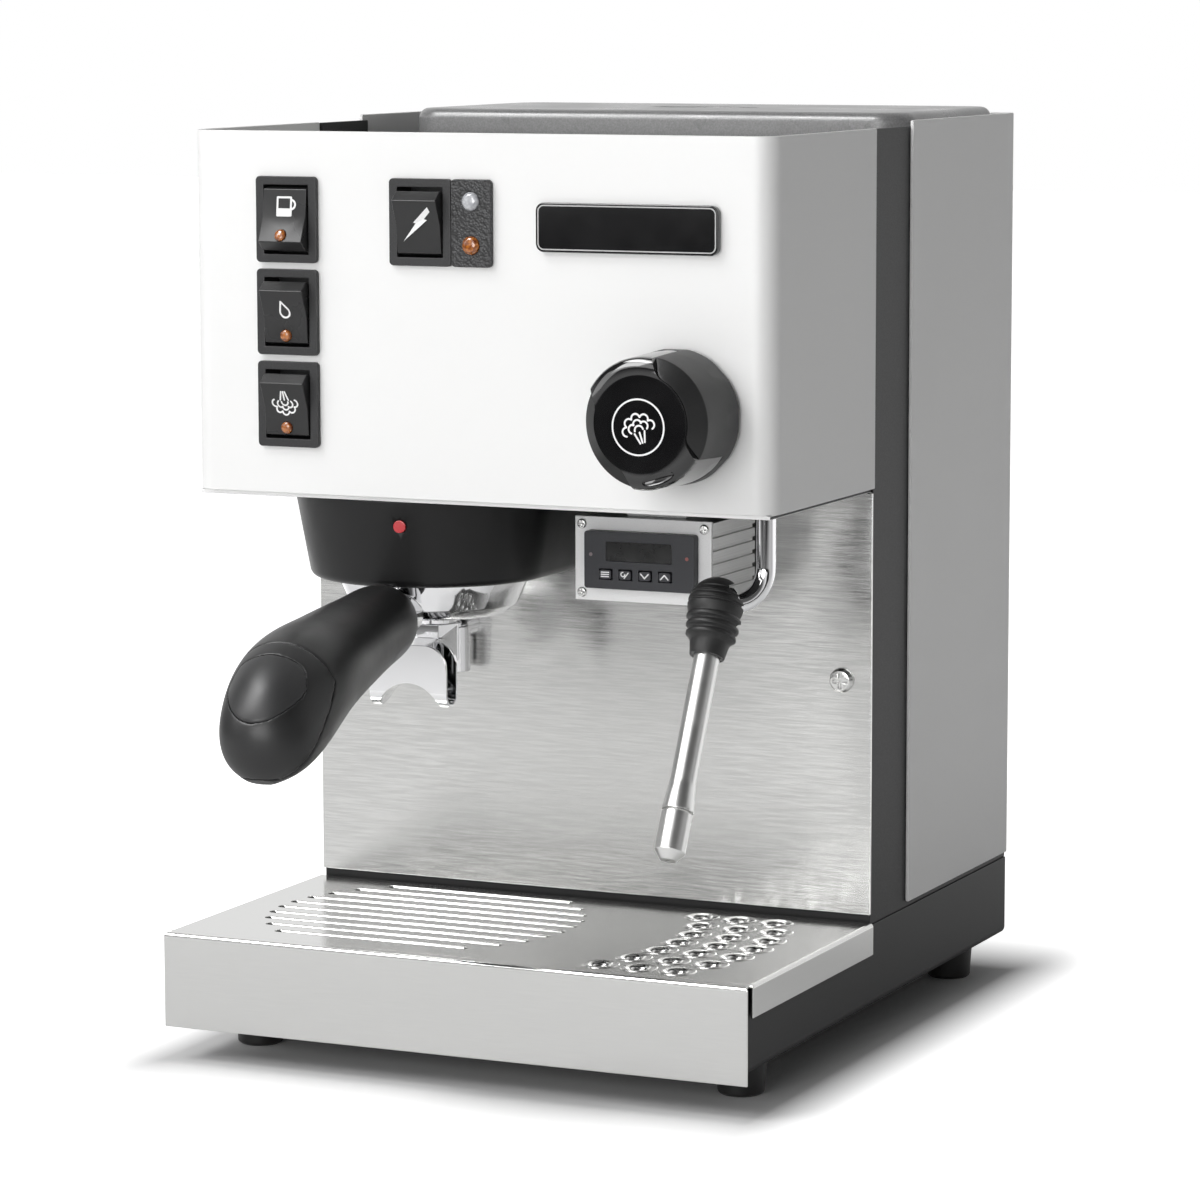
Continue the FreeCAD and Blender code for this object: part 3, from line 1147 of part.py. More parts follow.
def knob_cap_zone():
    """Part of the knob that the glossy cap fills: a disc, and a wing across it at each end."""
    front = KNOB_FACE_Y - CUT_OVER
    seat = KNOB_FACE_Y + KNOB_CAP_DEPTH
    disc = spindle(KNOB_CAP_RADIUS, KNOB_X, KNOB_Z, front, seat)
    band = slab(KNOB_X, KNOB_Z, KNOB_BAND, 4 * KNOB_RADIUS, front, seat)
    zone = joined([disc, band])
    inward = [edge for edge in edges_along(zone, AHEAD)
              if (edge.CenterOfMass - vec(KNOB_X, edge.CenterOfMass.y, KNOB_Z)).Length < KNOB_RADIUS]
    zone = zone.makeFillet(KNOB_BLEND, inward)
    wings = slab(KNOB_X, KNOB_Z, KNOB_BAND, 4 * KNOB_RADIUS, front, KNOB_FACE_Y + KNOB_WING_DEPTH)
    core = spindle(KNOB_FACE_RADIUS - KNOB_WING, KNOB_X, KNOB_Z, front, KNOB_REAR_Y)
    zone = joined([zone, wings.cut(core)])
    zone.rotate(vec(KNOB_X, 0, KNOB_Z), vec(0, 1, 0), -KNOB_BAND_ANGLE)
    return zone


def knob_body():
    """Matte part of the knob, bevelled beside the cap, with a bore for the stem."""
    level = KNOB_DEPTH - KNOB_CAP_PROUD
    blank = knob_turning([(KNOB_FACE_RADIUS, level - KNOB_BEVEL), (KNOB_CAP_RADIUS, level), (0, level)])
    bore = spindle(STEM_RADIUS, KNOB_X, KNOB_Z, KNOB_REAR_Y - STEM_SOCKET, KNOB_REAR_Y + CUT_OVER)
    return blank.cut([knob_cap_zone(), bore])


def knob_cap():
    """Glossy cap across the knob's face, with a rounded edge."""
    edge = KNOB_EDGE
    radius = KNOB_FACE_RADIUS
    face = [(radius, KNOB_DEPTH - 3 * edge), (radius - edge, KNOB_DEPTH - edge),
            (radius - 3 * edge, KNOB_DEPTH), (0, KNOB_DEPTH)]
    return knob_turning(face).common(knob_cap_zone())


def socket_axis():
    """Direction from the steam pipe to the ball."""
    return vec(BALL_X - PIPE_X, BALL_Y - PIPE_Y, 0).normalize()


def steam_pipe():
    """Steam pipe from the valve down to a cup behind the ball."""
    ahead = socket_axis()
    top = vec(PIPE_X, PIPE_Y, KNOB_Z)
    nut = PIPE_RADIUS + PIPE_NUT
    cup = rod(SOCKET_OUTER, BALL - ahead * (SOCKET_OUTER + SOCKET_BACK), BALL - ahead * SOCKET_LIP)
    pieces = [
        piped([top, vec(PIPE_X, PIPE_Y, BALL_Z), BALL - ahead * SOCKET_INNER], PIPE_RADIUS, PIPE_BEND),
        rod(nut, vec(KNOB_X + VALVE_WIDTH / 2, PIPE_Y, KNOB_Z), top),
        Part.makeSphere(nut, top),
        cup.common(Part.makeSphere(BOOT_INSIDE - SLIDE_GAP, BALL)),
    ]
    return joined(pieces).cut(Part.makeSphere(SOCKET_INNER, BALL))


def ball_seat():
    """Thin spherical seat between the ball and its cup."""
    ahead = socket_axis()
    shell = Part.makeSphere(SEAT_OUTER, BALL).cut(Part.makeSphere(SEAT_INNER, BALL))
    keep = rod(2 * SEAT_OUTER, BALL - ahead * 2 * SEAT_OUTER, BALL - ahead * (SOCKET_LIP - SEAT_STEP))
    return shell.common(keep)


def wand_axis():
    """Direction of the wand from the ball to its tip."""
    angle = math.radians(WAND_TILT)
    return vec(0, -math.sin(angle), -math.cos(angle))


def wand_tube():
    """Polished tube with the ball on its upper end and a flare at its lower end."""
    profile = [(0, 0), (WAND_NECK_RADIUS, 0), (WAND_NECK_RADIUS, WAND_NECK_LENGTH),
               (WAND_RADIUS, WAND_NECK_LENGTH), (WAND_RADIUS, WAND_LENGTH - FLARE_LENGTH),
               (FLARE_RADIUS, WAND_LENGTH - FLARE_EDGE), (FLARE_RADIUS, WAND_LENGTH), (0, WAND_LENGTH)]
    return joined([turned(profile, BALL, wand_axis()), Part.makeSphere(BALL_RADIUS, BALL)])


def wand_nozzle():
    """Chamfered nozzle below a fine groove, with a steam hole in its end."""
    side = FLARE_RADIUS - NOZZLE_STEP
    inner = side - NOZZLE_GROOVE
    profile = [(0, 0), (inner, 0), (inner, NOZZLE_GROOVE), (side, NOZZLE_GROOVE),
               (side, NOZZLE_LENGTH - NOZZLE_TAPER), (NOZZLE_TIP_RADIUS, NOZZLE_LENGTH), (0, NOZZLE_LENGTH)]
    nozzle = turned(profile, BALL + wand_axis() * WAND_LENGTH, wand_axis())
    tip = BALL + wand_axis() * (WAND_LENGTH + NOZZLE_LENGTH)
    hole = rod(STEAM_HOLE_RADIUS, tip - wand_axis() * STEAM_HOLE_DEPTH, tip + wand_axis() * CUT_OVER)
    return nozzle.cut(hole)


def wand_boot():
    """Rubber boot over the ball: a dome, ribs, a skirt round the tube and an opening for the pipe."""
    bore = WAND_RADIUS + PIN_GAP
    rib = BOOT_RIB_HEIGHT
    shoulder = BOOT_RIB_START + BOOT_RIBS * BOOT_RIB_PITCH
    outline = [(bore, BOOT_LENGTH), (BOOT_FOOT_RADIUS, BOOT_LENGTH), (BOOT_FOOT_RADIUS + rib, shoulder + rib)]
    for index in reversed(range(BOOT_RIBS)):
        height = BOOT_RIB_START + index * BOOT_RIB_PITCH
        reach = BOOT_RADIUS - BOOT_RIB_STEP * (index + 1)
        outline += [(reach - rib, height + 2.8 * rib), (reach, height + 2.2 * rib), (reach, height + rib),
                    (reach - rib, height)]
    outline += [(BOOT_RADIUS - rib / 2, BOOT_RIB_START - rib), (BOOT_RADIUS, 0), (0, 0), (0, BOOT_FLOOR),
                (bore, BOOT_FLOOR)]
    boot = joined([turned(outline, BALL, wand_axis()), Part.makeSphere(BOOT_RADIUS, BALL)])
    hollow = joined([Part.makeSphere(BOOT_INSIDE, BALL),
                     taper(BOOT_INSIDE - BOOT_WALL / 2, bore, BALL, BALL + wand_axis() * BOOT_FLOOR)])
    half = BOOT_WINDOW / 2
    window = block(BOOT_WINDOW_START, 2 * BOOT_RADIUS, -half, half, -half, half)
    window = carried(window, FreeCAD.Placement(BALL, FreeCAD.Rotation(ACROSS, socket_axis() * -1)))
    grooves = []
    for index in range(BOOT_GROOVES):
        rise = index * BOOT_GROOVE_PITCH
        ring = math.sqrt(BOOT_RADIUS ** 2 - rise ** 2)
        grooves.append(Part.makeTorus(ring, BOOT_GROOVE_RADIUS, BALL - wand_axis() * rise, wand_axis()))
    return boot.cut([hollow, window] + grooves)


def portafilter_body():
    """Plated bowl with two locking ears, a neck for the handle and a boss for the spout."""
    inside = RIM_RADIUS - BOWL_WALL
    floor = BOWL_BOTTOM + BOWL_WALL
    shoulder = RIM_TOP - BOWL_TOP_DROP
    edge = BOWL_RADIUS - RIM_RADIUS
    profile = [(0, BOWL_BOTTOM), (BOWL_FOOT_RADIUS - 2 * edge, BOWL_BOTTOM),
               (BOWL_FOOT_RADIUS, BOWL_BOTTOM + edge), (BOWL_MID_RADIUS, RIM_TOP - BOWL_MID_DROP),
               (BOWL_RADIUS, shoulder), (BOWL_RADIUS, shoulder + edge),
               (RIM_RADIUS, shoulder + 2 * edge), (RIM_RADIUS, RIM_TOP), (inside, RIM_TOP),
               (inside, floor + 2 * BOWL_WALL), (inside - 2 * BOWL_WALL, floor), (0, floor)]
    bowl = turned(profile, GROUP_AXIS, UP)
    ears = ear_sector(RIM_RADIUS - edge, RIM_RADIUS + EAR_REACH, EAR_BOTTOM, EAR_BOTTOM + EAR_HEIGHT,
                      EAR_SPREAD, 0)
    boss = post(BOSS_RADIUS, GROUP_X, GROUP_Y, BOSS_BOTTOM, floor)
    start = vec(0, -inside, HANDLE_Z)
    neck = about_group(rod(HANDLE_NECK_RADIUS, start, vec(0, -HANDLE_ROOT, HANDLE_Z)))
    tang = about_group(rod(HANDLE_TANG_RADIUS, start, vec(0, -HANDLE_ROOT - HANDLE_TANG_LENGTH, HANDLE_Z)))
    drip = post(BOWL_HOLE_RADIUS, GROUP_X, GROUP_Y, BOSS_BOTTOM - CUT_OVER, floor + CUT_OVER)
    return joined([bowl, ears, boss, neck, tang]).cut(drip)


def filter_basket():
    """Thin steel basket that hangs by its lip in the bowl."""
    outer = RIM_RADIUS - BOWL_WALL - BASKET_GAP
    wall = BASKET_WALL
    lip = RIM_RADIUS - wall / 2
    bottom = RIM_TOP - BASKET_DEPTH
    foot = bottom + BASKET_FOOT
    profile = [(0, bottom), (outer - BASKET_TAPER, bottom), (outer, foot), (outer, RIM_TOP), (lip, RIM_TOP),
               (lip, BASKET_TOP), (outer - wall, BASKET_TOP), (outer - wall, foot + wall / 2),
               (outer - BASKET_TAPER - wall / 2, bottom + wall), (0, bottom + wall)]
    return turned(profile, GROUP_AXIS, UP)


def handle_sections():
    """Grip sections, as shares of its length, its fall, its width and its height."""
    return [
        (0.000, 0.000, 0.583, 0.566),
        (0.034, 0.000, 0.661, 0.642),
        (0.171, 0.041, 0.759, 0.713),
        (0.359, 0.108, 0.853, 0.773),
        (0.531, 0.179, 0.935, 0.843),
        (0.680, 0.257, 1.000, 0.935),
        (0.804, 0.389, 0.998, 1.000),
        (0.896, 0.560, 0.927, 0.949),
        (0.966, 0.773, 0.780, 0.699),
        (0.987, 0.925, 0.537, 0.394),
        (1.000, 1.000, 0.243, 0.163),
    ]


def oval(across, upright, run, middle, wide, tall):
    """Oval wire square to a run, with its width and height along two directions."""
    if wide >= tall:
        ring = Part.Ellipse(vec(0, 0, 0), wide, tall) if wide > tall else Part.Circle()
        spin = FreeCAD.Rotation(across, upright, run, "ZXY")
    else:
        ring = Part.Ellipse(vec(0, 0, 0), tall, wide)
        spin = FreeCAD.Rotation(upright, across * -1, run, "ZXY")
    wire = Part.Wire(ring.toShape())
    wire.Placement = FreeCAD.Placement(middle, spin)
    return wire


def handle_blank():
    """Whole grip, curving down to a rounded end, before it is divided."""
    middles = [vec(0, -HANDLE_ROOT - ahead * HANDLE_LENGTH, HANDLE_Z - fall * HANDLE_FALL)
               for ahead, fall, wide, tall in handle_sections()]
    wires = []
    for index, (ahead, fall, wide, tall) in enumerate(handle_sections()):
        run = middles[min(index + 1, len(middles) - 1)] - middles[max(index - 1, 0)]
        wires.append(oval(ACROSS, run.cross(ACROSS), run, middles[index], wide * HANDLE_WIDTH / 2,
                          tall * HANDLE_HEIGHT / 2))
    return Part.makeLoft(wires, True, False)


def handle_cap_zone():
    """Upper end of the grip, ahead of a seam across it and a seam down each side."""
    tip = -HANDLE_ROOT - HANDLE_LENGTH
    seam = tip + SEAM_INSET
    corner = HANDLE_Z - SEAM_DROP
    far = tip - HANDLE_HEIGHT
    high = HANDLE_Z + HANDLE_HEIGHT
    low = HANDLE_Z - HANDLE_FALL + SEAM_FOOT
    side = -HANDLE_WIDTH
    lean = (high - corner) * math.tan(math.radians(SEAM_LEAN))
    points = [vec(side, seam - lean, high), vec(side, seam, corner), vec(side, tip, low),
              vec(side, far, low), vec(side, far, high)]
    return prism(points, ACROSS * (2 * HANDLE_WIDTH))


def handle_plate_zone():
    """Plug of the shield-shaped plate on the grip's upper end: an arched top and a rounded foot."""
    wide = PLATE_WIDTH / 2
    tall = PLATE_LENGTH / 2
    left = vec(-wide * 0.96, tall * 0.58, 0)
    right = vec(wide * 0.96, tall * 0.58, 0)
    foot_left = vec(-wide * 0.46, -tall * 0.8, 0)
    foot_right = vec(wide * 0.46, -tall * 0.8, 0)
    outline = Part.Wire([
        Part.Arc(left, vec(0, tall, 0), right).toShape(),
        Part.Arc(right, vec(wide * 0.85, -tall * 0.16, 0), foot_right).toShape(),
        Part.Arc(foot_right, vec(0, -tall, 0), foot_left).toShape(),
        Part.Arc(foot_left, vec(-wide * 0.85, -tall * 0.16, 0), left).toShape(),
    ])
    plug = rounded(Part.Face(outline).extrude(UP * (PLATE_DEPTH + PLATE_REACH)), UP, PLATE_CORNER)
    slope = math.radians(PLATE_SLOPE)
    outward = vec(0, -math.cos(slope), math.sin(slope))
    upward = vec(0, math.sin(slope), math.cos(slope))
    middle = vec(0, -HANDLE_ROOT - HANDLE_LENGTH + PLATE_INSET, HANDLE_Z - PLATE_DROP)
    spin = FreeCAD.Rotation(ACROSS, upward, outward, "ZXY")
    return carried(plug, FreeCAD.Placement(middle + outward * (PLATE_REACH - PLATE_DEPTH), spin))


def handle():
    """Main part of the grip, bored for the neck's tang."""
    grip = about_group(handle_blank().cut(handle_cap_zone()))
    return grip.cut(portafilter_body())


def handle_cap():
    """End cap of the grip."""
    return about_group(handle_blank().common(handle_cap_zone()).cut(handle_plate_zone()))


def handle_plate():
    """Shield-shaped plate let into the end cap."""
    return about_group(handle_blank().common(handle_cap_zone()).common(handle_plate_zone()))


def spout_arch(grow):
    """Both chutes' outline over their arch, seen from the front: shoulders and straight sides."""
    half = SPOUT_SPAN / 2
    width = CHUTE_WIDTH / 2 - grow
    bar = block(-half - grow, half + grow, -width, width, SPOUT_LIP_Z + grow, SPOUT_TOP + grow)
    if grow == 0:
        upper = [edge for edge in edges_along(bar, AHEAD) if edge.CenterOfMass.z > SPOUT_TOP - SPOUT_SHOULDER]
        bar = bar.makeFillet(SPOUT_SHOULDER, upper)
    centre = SPOUT_LIP_Z - SPOUT_ARCH_DROP
    return bar.cut(spindle(SPOUT_ARCH_RADIUS + grow, 0, centre, -CHUTE_WIDTH, CHUTE_WIDTH))


def spout_ends(grow):
    """Long plug that rounds the lower ends of both chutes, seen from the side."""
    radius = CHUTE_WIDTH / 2 - grow
    low = SPOUT_LIP_Z + CHUTE_WIDTH / 2
    reach = vec(SPOUT_SPAN, 0, 0)
    round_end = rod(radius, vec(0, 0, low) - reach, vec(0, 0, low) + reach)
    upper = block(-SPOUT_SPAN, SPOUT_SPAN, -radius, radius, low, SPOUT_TOP + CUT_OVER)
    return joined([round_end, upper])


def double_spout():
    """Twin spout screwed under the bowl: a nut, a hub and two open chutes over an arch."""
    solid = spout_arch(0).common(spout_ends(0))
    hollow = spout_arch(CHUTE_WALL).common(spout_ends(CHUTE_WALL))
    hub_half = HUB_WIDTH / 2
    core = block(-hub_half, hub_half, -CHUTE_WIDTH, CHUTE_WIDTH, SPOUT_LIP_Z, SPOUT_TOP + CUT_OVER)
    chutes = solid.cut(hollow.cut(core))
    chutes.translate(AHEAD * SPOUT_AHEAD)
    hub = block(-hub_half, hub_half, -SPOUT_AHEAD - CHUTE_WIDTH / 2, 0, SPOUT_TOP - HUB_HEIGHT, SPOUT_TOP)
    corner = NUT_FLATS / math.sqrt(3)
    foot = SPOUT_TOP - HUB_HEIGHT
    hexagon = []
    for angle in range(0, 360, 60):
        turn = math.radians(angle)
        hexagon.append(vec(corner * math.cos(turn), corner * math.sin(turn), foot))
    nut = prism(hexagon, UP * (BOSS_BOTTOM - foot))
    level = SPOUT_TOP - HUB_HEIGHT / 2
    bore = post(BOWL_HOLE_RADIUS, 0, 0, level, BOSS_BOTTOM + CUT_OVER)
    feed = spindle(BOWL_HOLE_RADIUS, 0, level, -SPOUT_AHEAD, 0)
    reach = SPOUT_SPAN / 2
    cross = rod(BOWL_HOLE_RADIUS, vec(-reach, -SPOUT_AHEAD, level), vec(reach, -SPOUT_AHEAD, level))
    return about_group(joined([chutes, hub, nut]).cut([bore, feed, cross]))


def switch_pivot(place):
    """Pivot of a rocker behind the hood's face."""
    return place + vec(0, ROCKER_PIVOT, 0)


def switch_housing(place):
    """One switch housing: a proud bezel, a body through the panel, a well and pivot holes."""
    front = HOOD_FRONT_Y - BEZEL_PROUD
    wall = 2 * HOUSING_WALL
    bezel = slab(place.x, place.z, BEZEL_WIDTH, BEZEL_HEIGHT, front, HOOD_FRONT_Y)
    bezel = rounded(bezel, AHEAD, BEZEL_CORNER)
    body = slab(place.x, place.z, APERTURE_WIDTH + wall, APERTURE_HEIGHT + wall, HOOD_FRONT_Y,
                HOOD_FRONT_Y + HOUSING_DEPTH)
    well = slab(place.x, place.z, APERTURE_WIDTH, APERTURE_HEIGHT, front - CUT_OVER,
                HOOD_FRONT_Y + APERTURE_DEPTH)
    reach = ACROSS * (ROCKER_WIDTH / 2 + ROCKER_PIN_LENGTH + SLIDE_GAP)
    pivot = switch_pivot(place)
    bore = rod(ROCKER_PIN + PIN_GAP, pivot - reach, pivot + reach)
    return joined([bezel, body]).cut([well, bore])


def switch_housings():
    """Four switch housings in the hood."""
    return Part.makeCompound([switch_housing(place) for place in switch_places().values()])


def led_plug():
    """Round lens on the lower face of a rocker drawn level at the origin."""
    slope = math.atan2(ROCKER_RIDGE - ROCKER_VALLEY, ROCKER_RIDGE_RISE)
    outward = vec(0, -math.cos(slope), math.sin(slope))
    face = vec(0, -ROCKER_VALLEY - LED_DROP * math.tan(slope), -LED_DROP)
    return rod(LED_RADIUS, face - outward * LED_DEPTH, face + outward * LED_PROUD)


def rocker_blank():
    """Rocker drawn level about its pivot: two ridges, a valley between them and pivot pins."""
    half = ROCKER_WIDTH / 2
    lower = [(ROCKER_BACK, ROCKER_BACK_RISE), (-ROCKER_EDGE, ROCKER_ARC), (-ROCKER_RIDGE, ROCKER_RIDGE_RISE)]
    side = [vec(-half, y, -rise) for y, rise in lower] + [vec(-half, -ROCKER_VALLEY, 0)]
    side += [vec(-half, y, rise) for y, rise in reversed(lower)]
    body = prism(side, ACROSS * ROCKER_WIDTH)
    body = body.common(rod(ROCKER_ARC, vec(-half, 0, 0), vec(half, 0, 0)))
    reach = half + ROCKER_PIN_LENGTH
    return joined([body, rod(ROCKER_PIN, vec(-reach, 0, 0), vec(reach, 0, 0))])


def in_switch(shape, name, tilt):
    """Carry a shape drawn about a rocker's pivot into its switch, at the switch's resting tilt."""
    pivot = switch_pivot(switch_places()[name])
    return carried(shape, FreeCAD.Placement(pivot, FreeCAD.Rotation(ACROSS, tilt)))


def brew_rocker():
    """Rocker that starts the brew, resting with its lower edge out."""
    return in_switch(rocker_blank().cut(led_plug()), "brew", -ROCKER_TILT)


def water_rocker():
    """Rocker for hot water, resting with its upper edge out."""
    return in_switch(rocker_blank().cut(led_plug()), "water", ROCKER_TILT)


def steam_rocker():
    """Rocker for steam, resting with its upper edge out."""
    return in_switch(rocker_blank().cut(led_plug()), "steam", ROCKER_TILT)


def power_rocker():
    """Mains rocker, resting with its upper edge out."""
    return in_switch(rocker_blank(), "power", ROCKER_TILT)


def brew_lens():
    """Lens in the brew rocker."""
    return in_switch(led_plug(), "brew", -ROCKER_TILT)


def water_lens():
    """Lens in the hot water rocker."""
    return in_switch(led_plug(), "water", ROCKER_TILT)


def steam_lens():
    """Lens in the steam rocker."""
    return in_switch(led_plug(), "steam", ROCKER_TILT)


def indicator_plate():
    """Plate beside the power switch with two lamp holes."""
    front = HOOD_FRONT_Y - BEZEL_PROUD
    plate = slab(INDICATOR_X, SWITCH_TOP_Z, INDICATOR_WIDTH, BEZEL_HEIGHT, front, HOOD_FRONT_Y)
    plate = rounded(plate, AHEAD, BEZEL_CORNER)
    return plate.cut([spindle(INDICATOR_RADIUS, place.x, place.z, front - CUT_OVER, HOOD_FRONT_Y + CUT_OVER)
                      for place in lamp_places()])


def indicator_lenses():
    """Two domed lamp lenses."""
    radius = INDICATOR_RADIUS
    dome = (LENS_EDGE + 3 * LENS_DOME) / 4
    profile = [(0, -INDICATOR_DEPTH), (radius, -INDICATOR_DEPTH), (radius, LENS_EDGE), (radius * 0.7, dome),
               (0, LENS_DOME)]
    return Part.makeCompound([turned(profile, place + AHEAD * BEZEL_PROUD, AHEAD) for place in lamp_places()])


def badge_plate():
    """Plain plate on the hood's face."""
    plate = slab(BADGE_X, BADGE_Z, BADGE_WIDTH, BADGE_HEIGHT, HOOD_FRONT_Y - BADGE_THICKNESS, HOOD_FRONT_Y)
    return rounded(plate, AHEAD, BADGE_CORNER)


def controller_box():
    """Extruded housing of the temperature controller with grooved sides, and its hanger."""
    wide = FACE_WIDTH - 2 * BOX_INSET
    tall = FACE_HEIGHT - 2 * BOX_INSET
    front = CONTROLLER_FACE_Y + FACE_THICKNESS
    top = CONTROLLER_Z + tall / 2
    body = slab(CONTROLLER_X, CONTROLLER_Z, wide, tall, front, CONTROLLER_BACK_Y)
    pitch = tall / (BOX_GROOVES + 1)
    grooves = []
    for index in range(BOX_GROOVES):
        z = top - pitch * (index + 1)
        grooves += [slab(CONTROLLER_X + side * wide / 2, z, 2 * BOX_GROOVE_DEPTH, BOX_GROOVE_WIDTH,
                         front - CUT_OVER, CONTROLLER_BACK_Y + CUT_OVER) for side in (-1, 1)]
    middle = (front + CONTROLLER_BACK_Y) / 2
    half = HANGER_WIDTH / 2
    long = HANGER_LENGTH / 2
    hanger = block(CONTROLLER_X - half, CONTROLLER_X + half, middle - long, middle + long, top, SHELF_BOTTOM)
    return Part.makeCompound([body.cut(grooves), hanger])


def controller_face():
    """Bright face plate round the display."""
    back = CONTROLLER_FACE_Y + FACE_THICKNESS
    plate = slab(CONTROLLER_X, CONTROLLER_Z, FACE_WIDTH, FACE_HEIGHT, CONTROLLER_FACE_Y, back)
    return plate.cut(rounded(slab(CONTROLLER_X, CONTROLLER_Z, DISPLAY_WIDTH, DISPLAY_HEIGHT,
                                  CONTROLLER_FACE_Y - CUT_OVER, back + CUT_OVER), AHEAD, DISPLAY_CORNER))


def key_places():
    """Middle of each controller key on the display's face."""
    first = CONTROLLER_X + KEY_SHIFT - (KEY_COUNT - 1) / 2 * KEY_PITCH
    z = CONTROLLER_Z - KEY_DROP
    return [vec(first + index * KEY_PITCH, DISPLAY_FACE_Y, z) for index in range(KEY_COUNT)]


def controller_display():
    """Dark display bezel with a window recess and wells for the keys."""
    back = CONTROLLER_FACE_Y + FACE_THICKNESS
    front = DISPLAY_FACE_Y - CUT_OVER
    bezel = slab(CONTROLLER_X, CONTROLLER_Z, DISPLAY_WIDTH, DISPLAY_HEIGHT, DISPLAY_FACE_Y, back)
    bezel = rounded(bezel, AHEAD, DISPLAY_CORNER)
    cuts = [slab(CONTROLLER_X, CONTROLLER_Z + WINDOW_RISE, WINDOW_WIDTH, WINDOW_HEIGHT, front,
                 DISPLAY_FACE_Y + WINDOW_SINK + WINDOW_THICKNESS)]
    gap = 2 * SLIDE_GAP
    floor = DISPLAY_FACE_Y + KEY_DEPTH + KEY_TRAVEL
    cuts += [slab(place.x, place.z, KEY_WIDTH + gap, KEY_HEIGHT + gap, front, floor)
             for place in key_places()]
    return bezel.cut(cuts)


def controller_window():
    """Dark glass over the readout."""
    front = DISPLAY_FACE_Y + WINDOW_SINK
    return slab(CONTROLLER_X, CONTROLLER_Z + WINDOW_RISE, WINDOW_WIDTH, WINDOW_HEIGHT, front,
                front + WINDOW_THICKNESS)


def controller_key(index):
    """One small key in its well."""
    place = key_places()[index]
    front = DISPLAY_FACE_Y - KEY_PROUD
    key = slab(place.x, place.z, KEY_WIDTH, KEY_HEIGHT, front, DISPLAY_FACE_Y + KEY_DEPTH)
    return rounded(key, AHEAD, KEY_CORNER)


def set_key():
    """First key of the controller."""
    return controller_key(0)


def mode_key():
    """Second key of the controller."""
    return controller_key(1)


def down_key():
    """Third key of the controller."""
    return controller_key(2)


def up_key():
    """Fourth key of the controller."""
    return controller_key(3)


PIECES = [
    base_pan, feet, cable_gland, chassis, splash_panel, panel_screws, hood, rear_panel, cup_tray, tank_lid,
    water_tank, drip_tray, drip_cover, group_cover, group_marker, group_head, group_gasket, shower_screen,
    boiler, heating_element, thermostats, pump, pump_bracket, solenoid_valve, drain_spout, feed_hoses,
    steam_valve, knob_stem, knob_body, knob_cap, steam_pipe, ball_seat, wand_tube, wand_boot, wand_nozzle,
    portafilter_body, filter_basket, double_spout, handle, handle_cap, handle_plate,
    switch_housings, brew_rocker, water_rocker, steam_rocker, power_rocker, brew_lens, water_lens, steam_lens,
    indicator_plate, indicator_lenses, badge_plate, controller_box, controller_face, controller_display,
    controller_window, set_key, mode_key, down_key, up_key,
]


def main():
    """Build every piece, centre the machine on its outline and write one file per piece."""
    os.makedirs("parts", exist_ok=True)
    shapes = {piece.__name__: piece() for piece in PIECES}
    boxes = [shape.optimalBoundingBox() for shape in shapes.values()]
    shift_x = -(min(box.XMin for box in boxes) + max(box.XMax for box in boxes)) / 2
    shift_y = -(min(box.YMin for box in boxes) + max(box.YMax for box in boxes)) / 2
    for name, shape in shapes.items():
        shape.translate(vec(shift_x, shift_y, 0))
        shape.exportStep("parts/" + name + ".step")
    print("pieces", len(shapes), "shift", round(shift_x, 4), round(shift_y, 4))


main()
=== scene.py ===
"""Looks of an espresso machine: its finishes, fine pieces, studio and camera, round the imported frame.

Places are in metres in the frame's own axes: X to the right, Y to the rear, Z up from the counter.
Sizes of the machine's pieces are in millimetres and are turned into metres where they are used.
"""

from __future__ import annotations

import json
import logging
import math
from dataclasses import dataclass, field
from enum import Enum
from typing import Callable, ClassVar, Iterable, Sequence

import bmesh
import bpy
from mathutils import Matrix, Vector
from mathutils.bvhtree import BVHTree

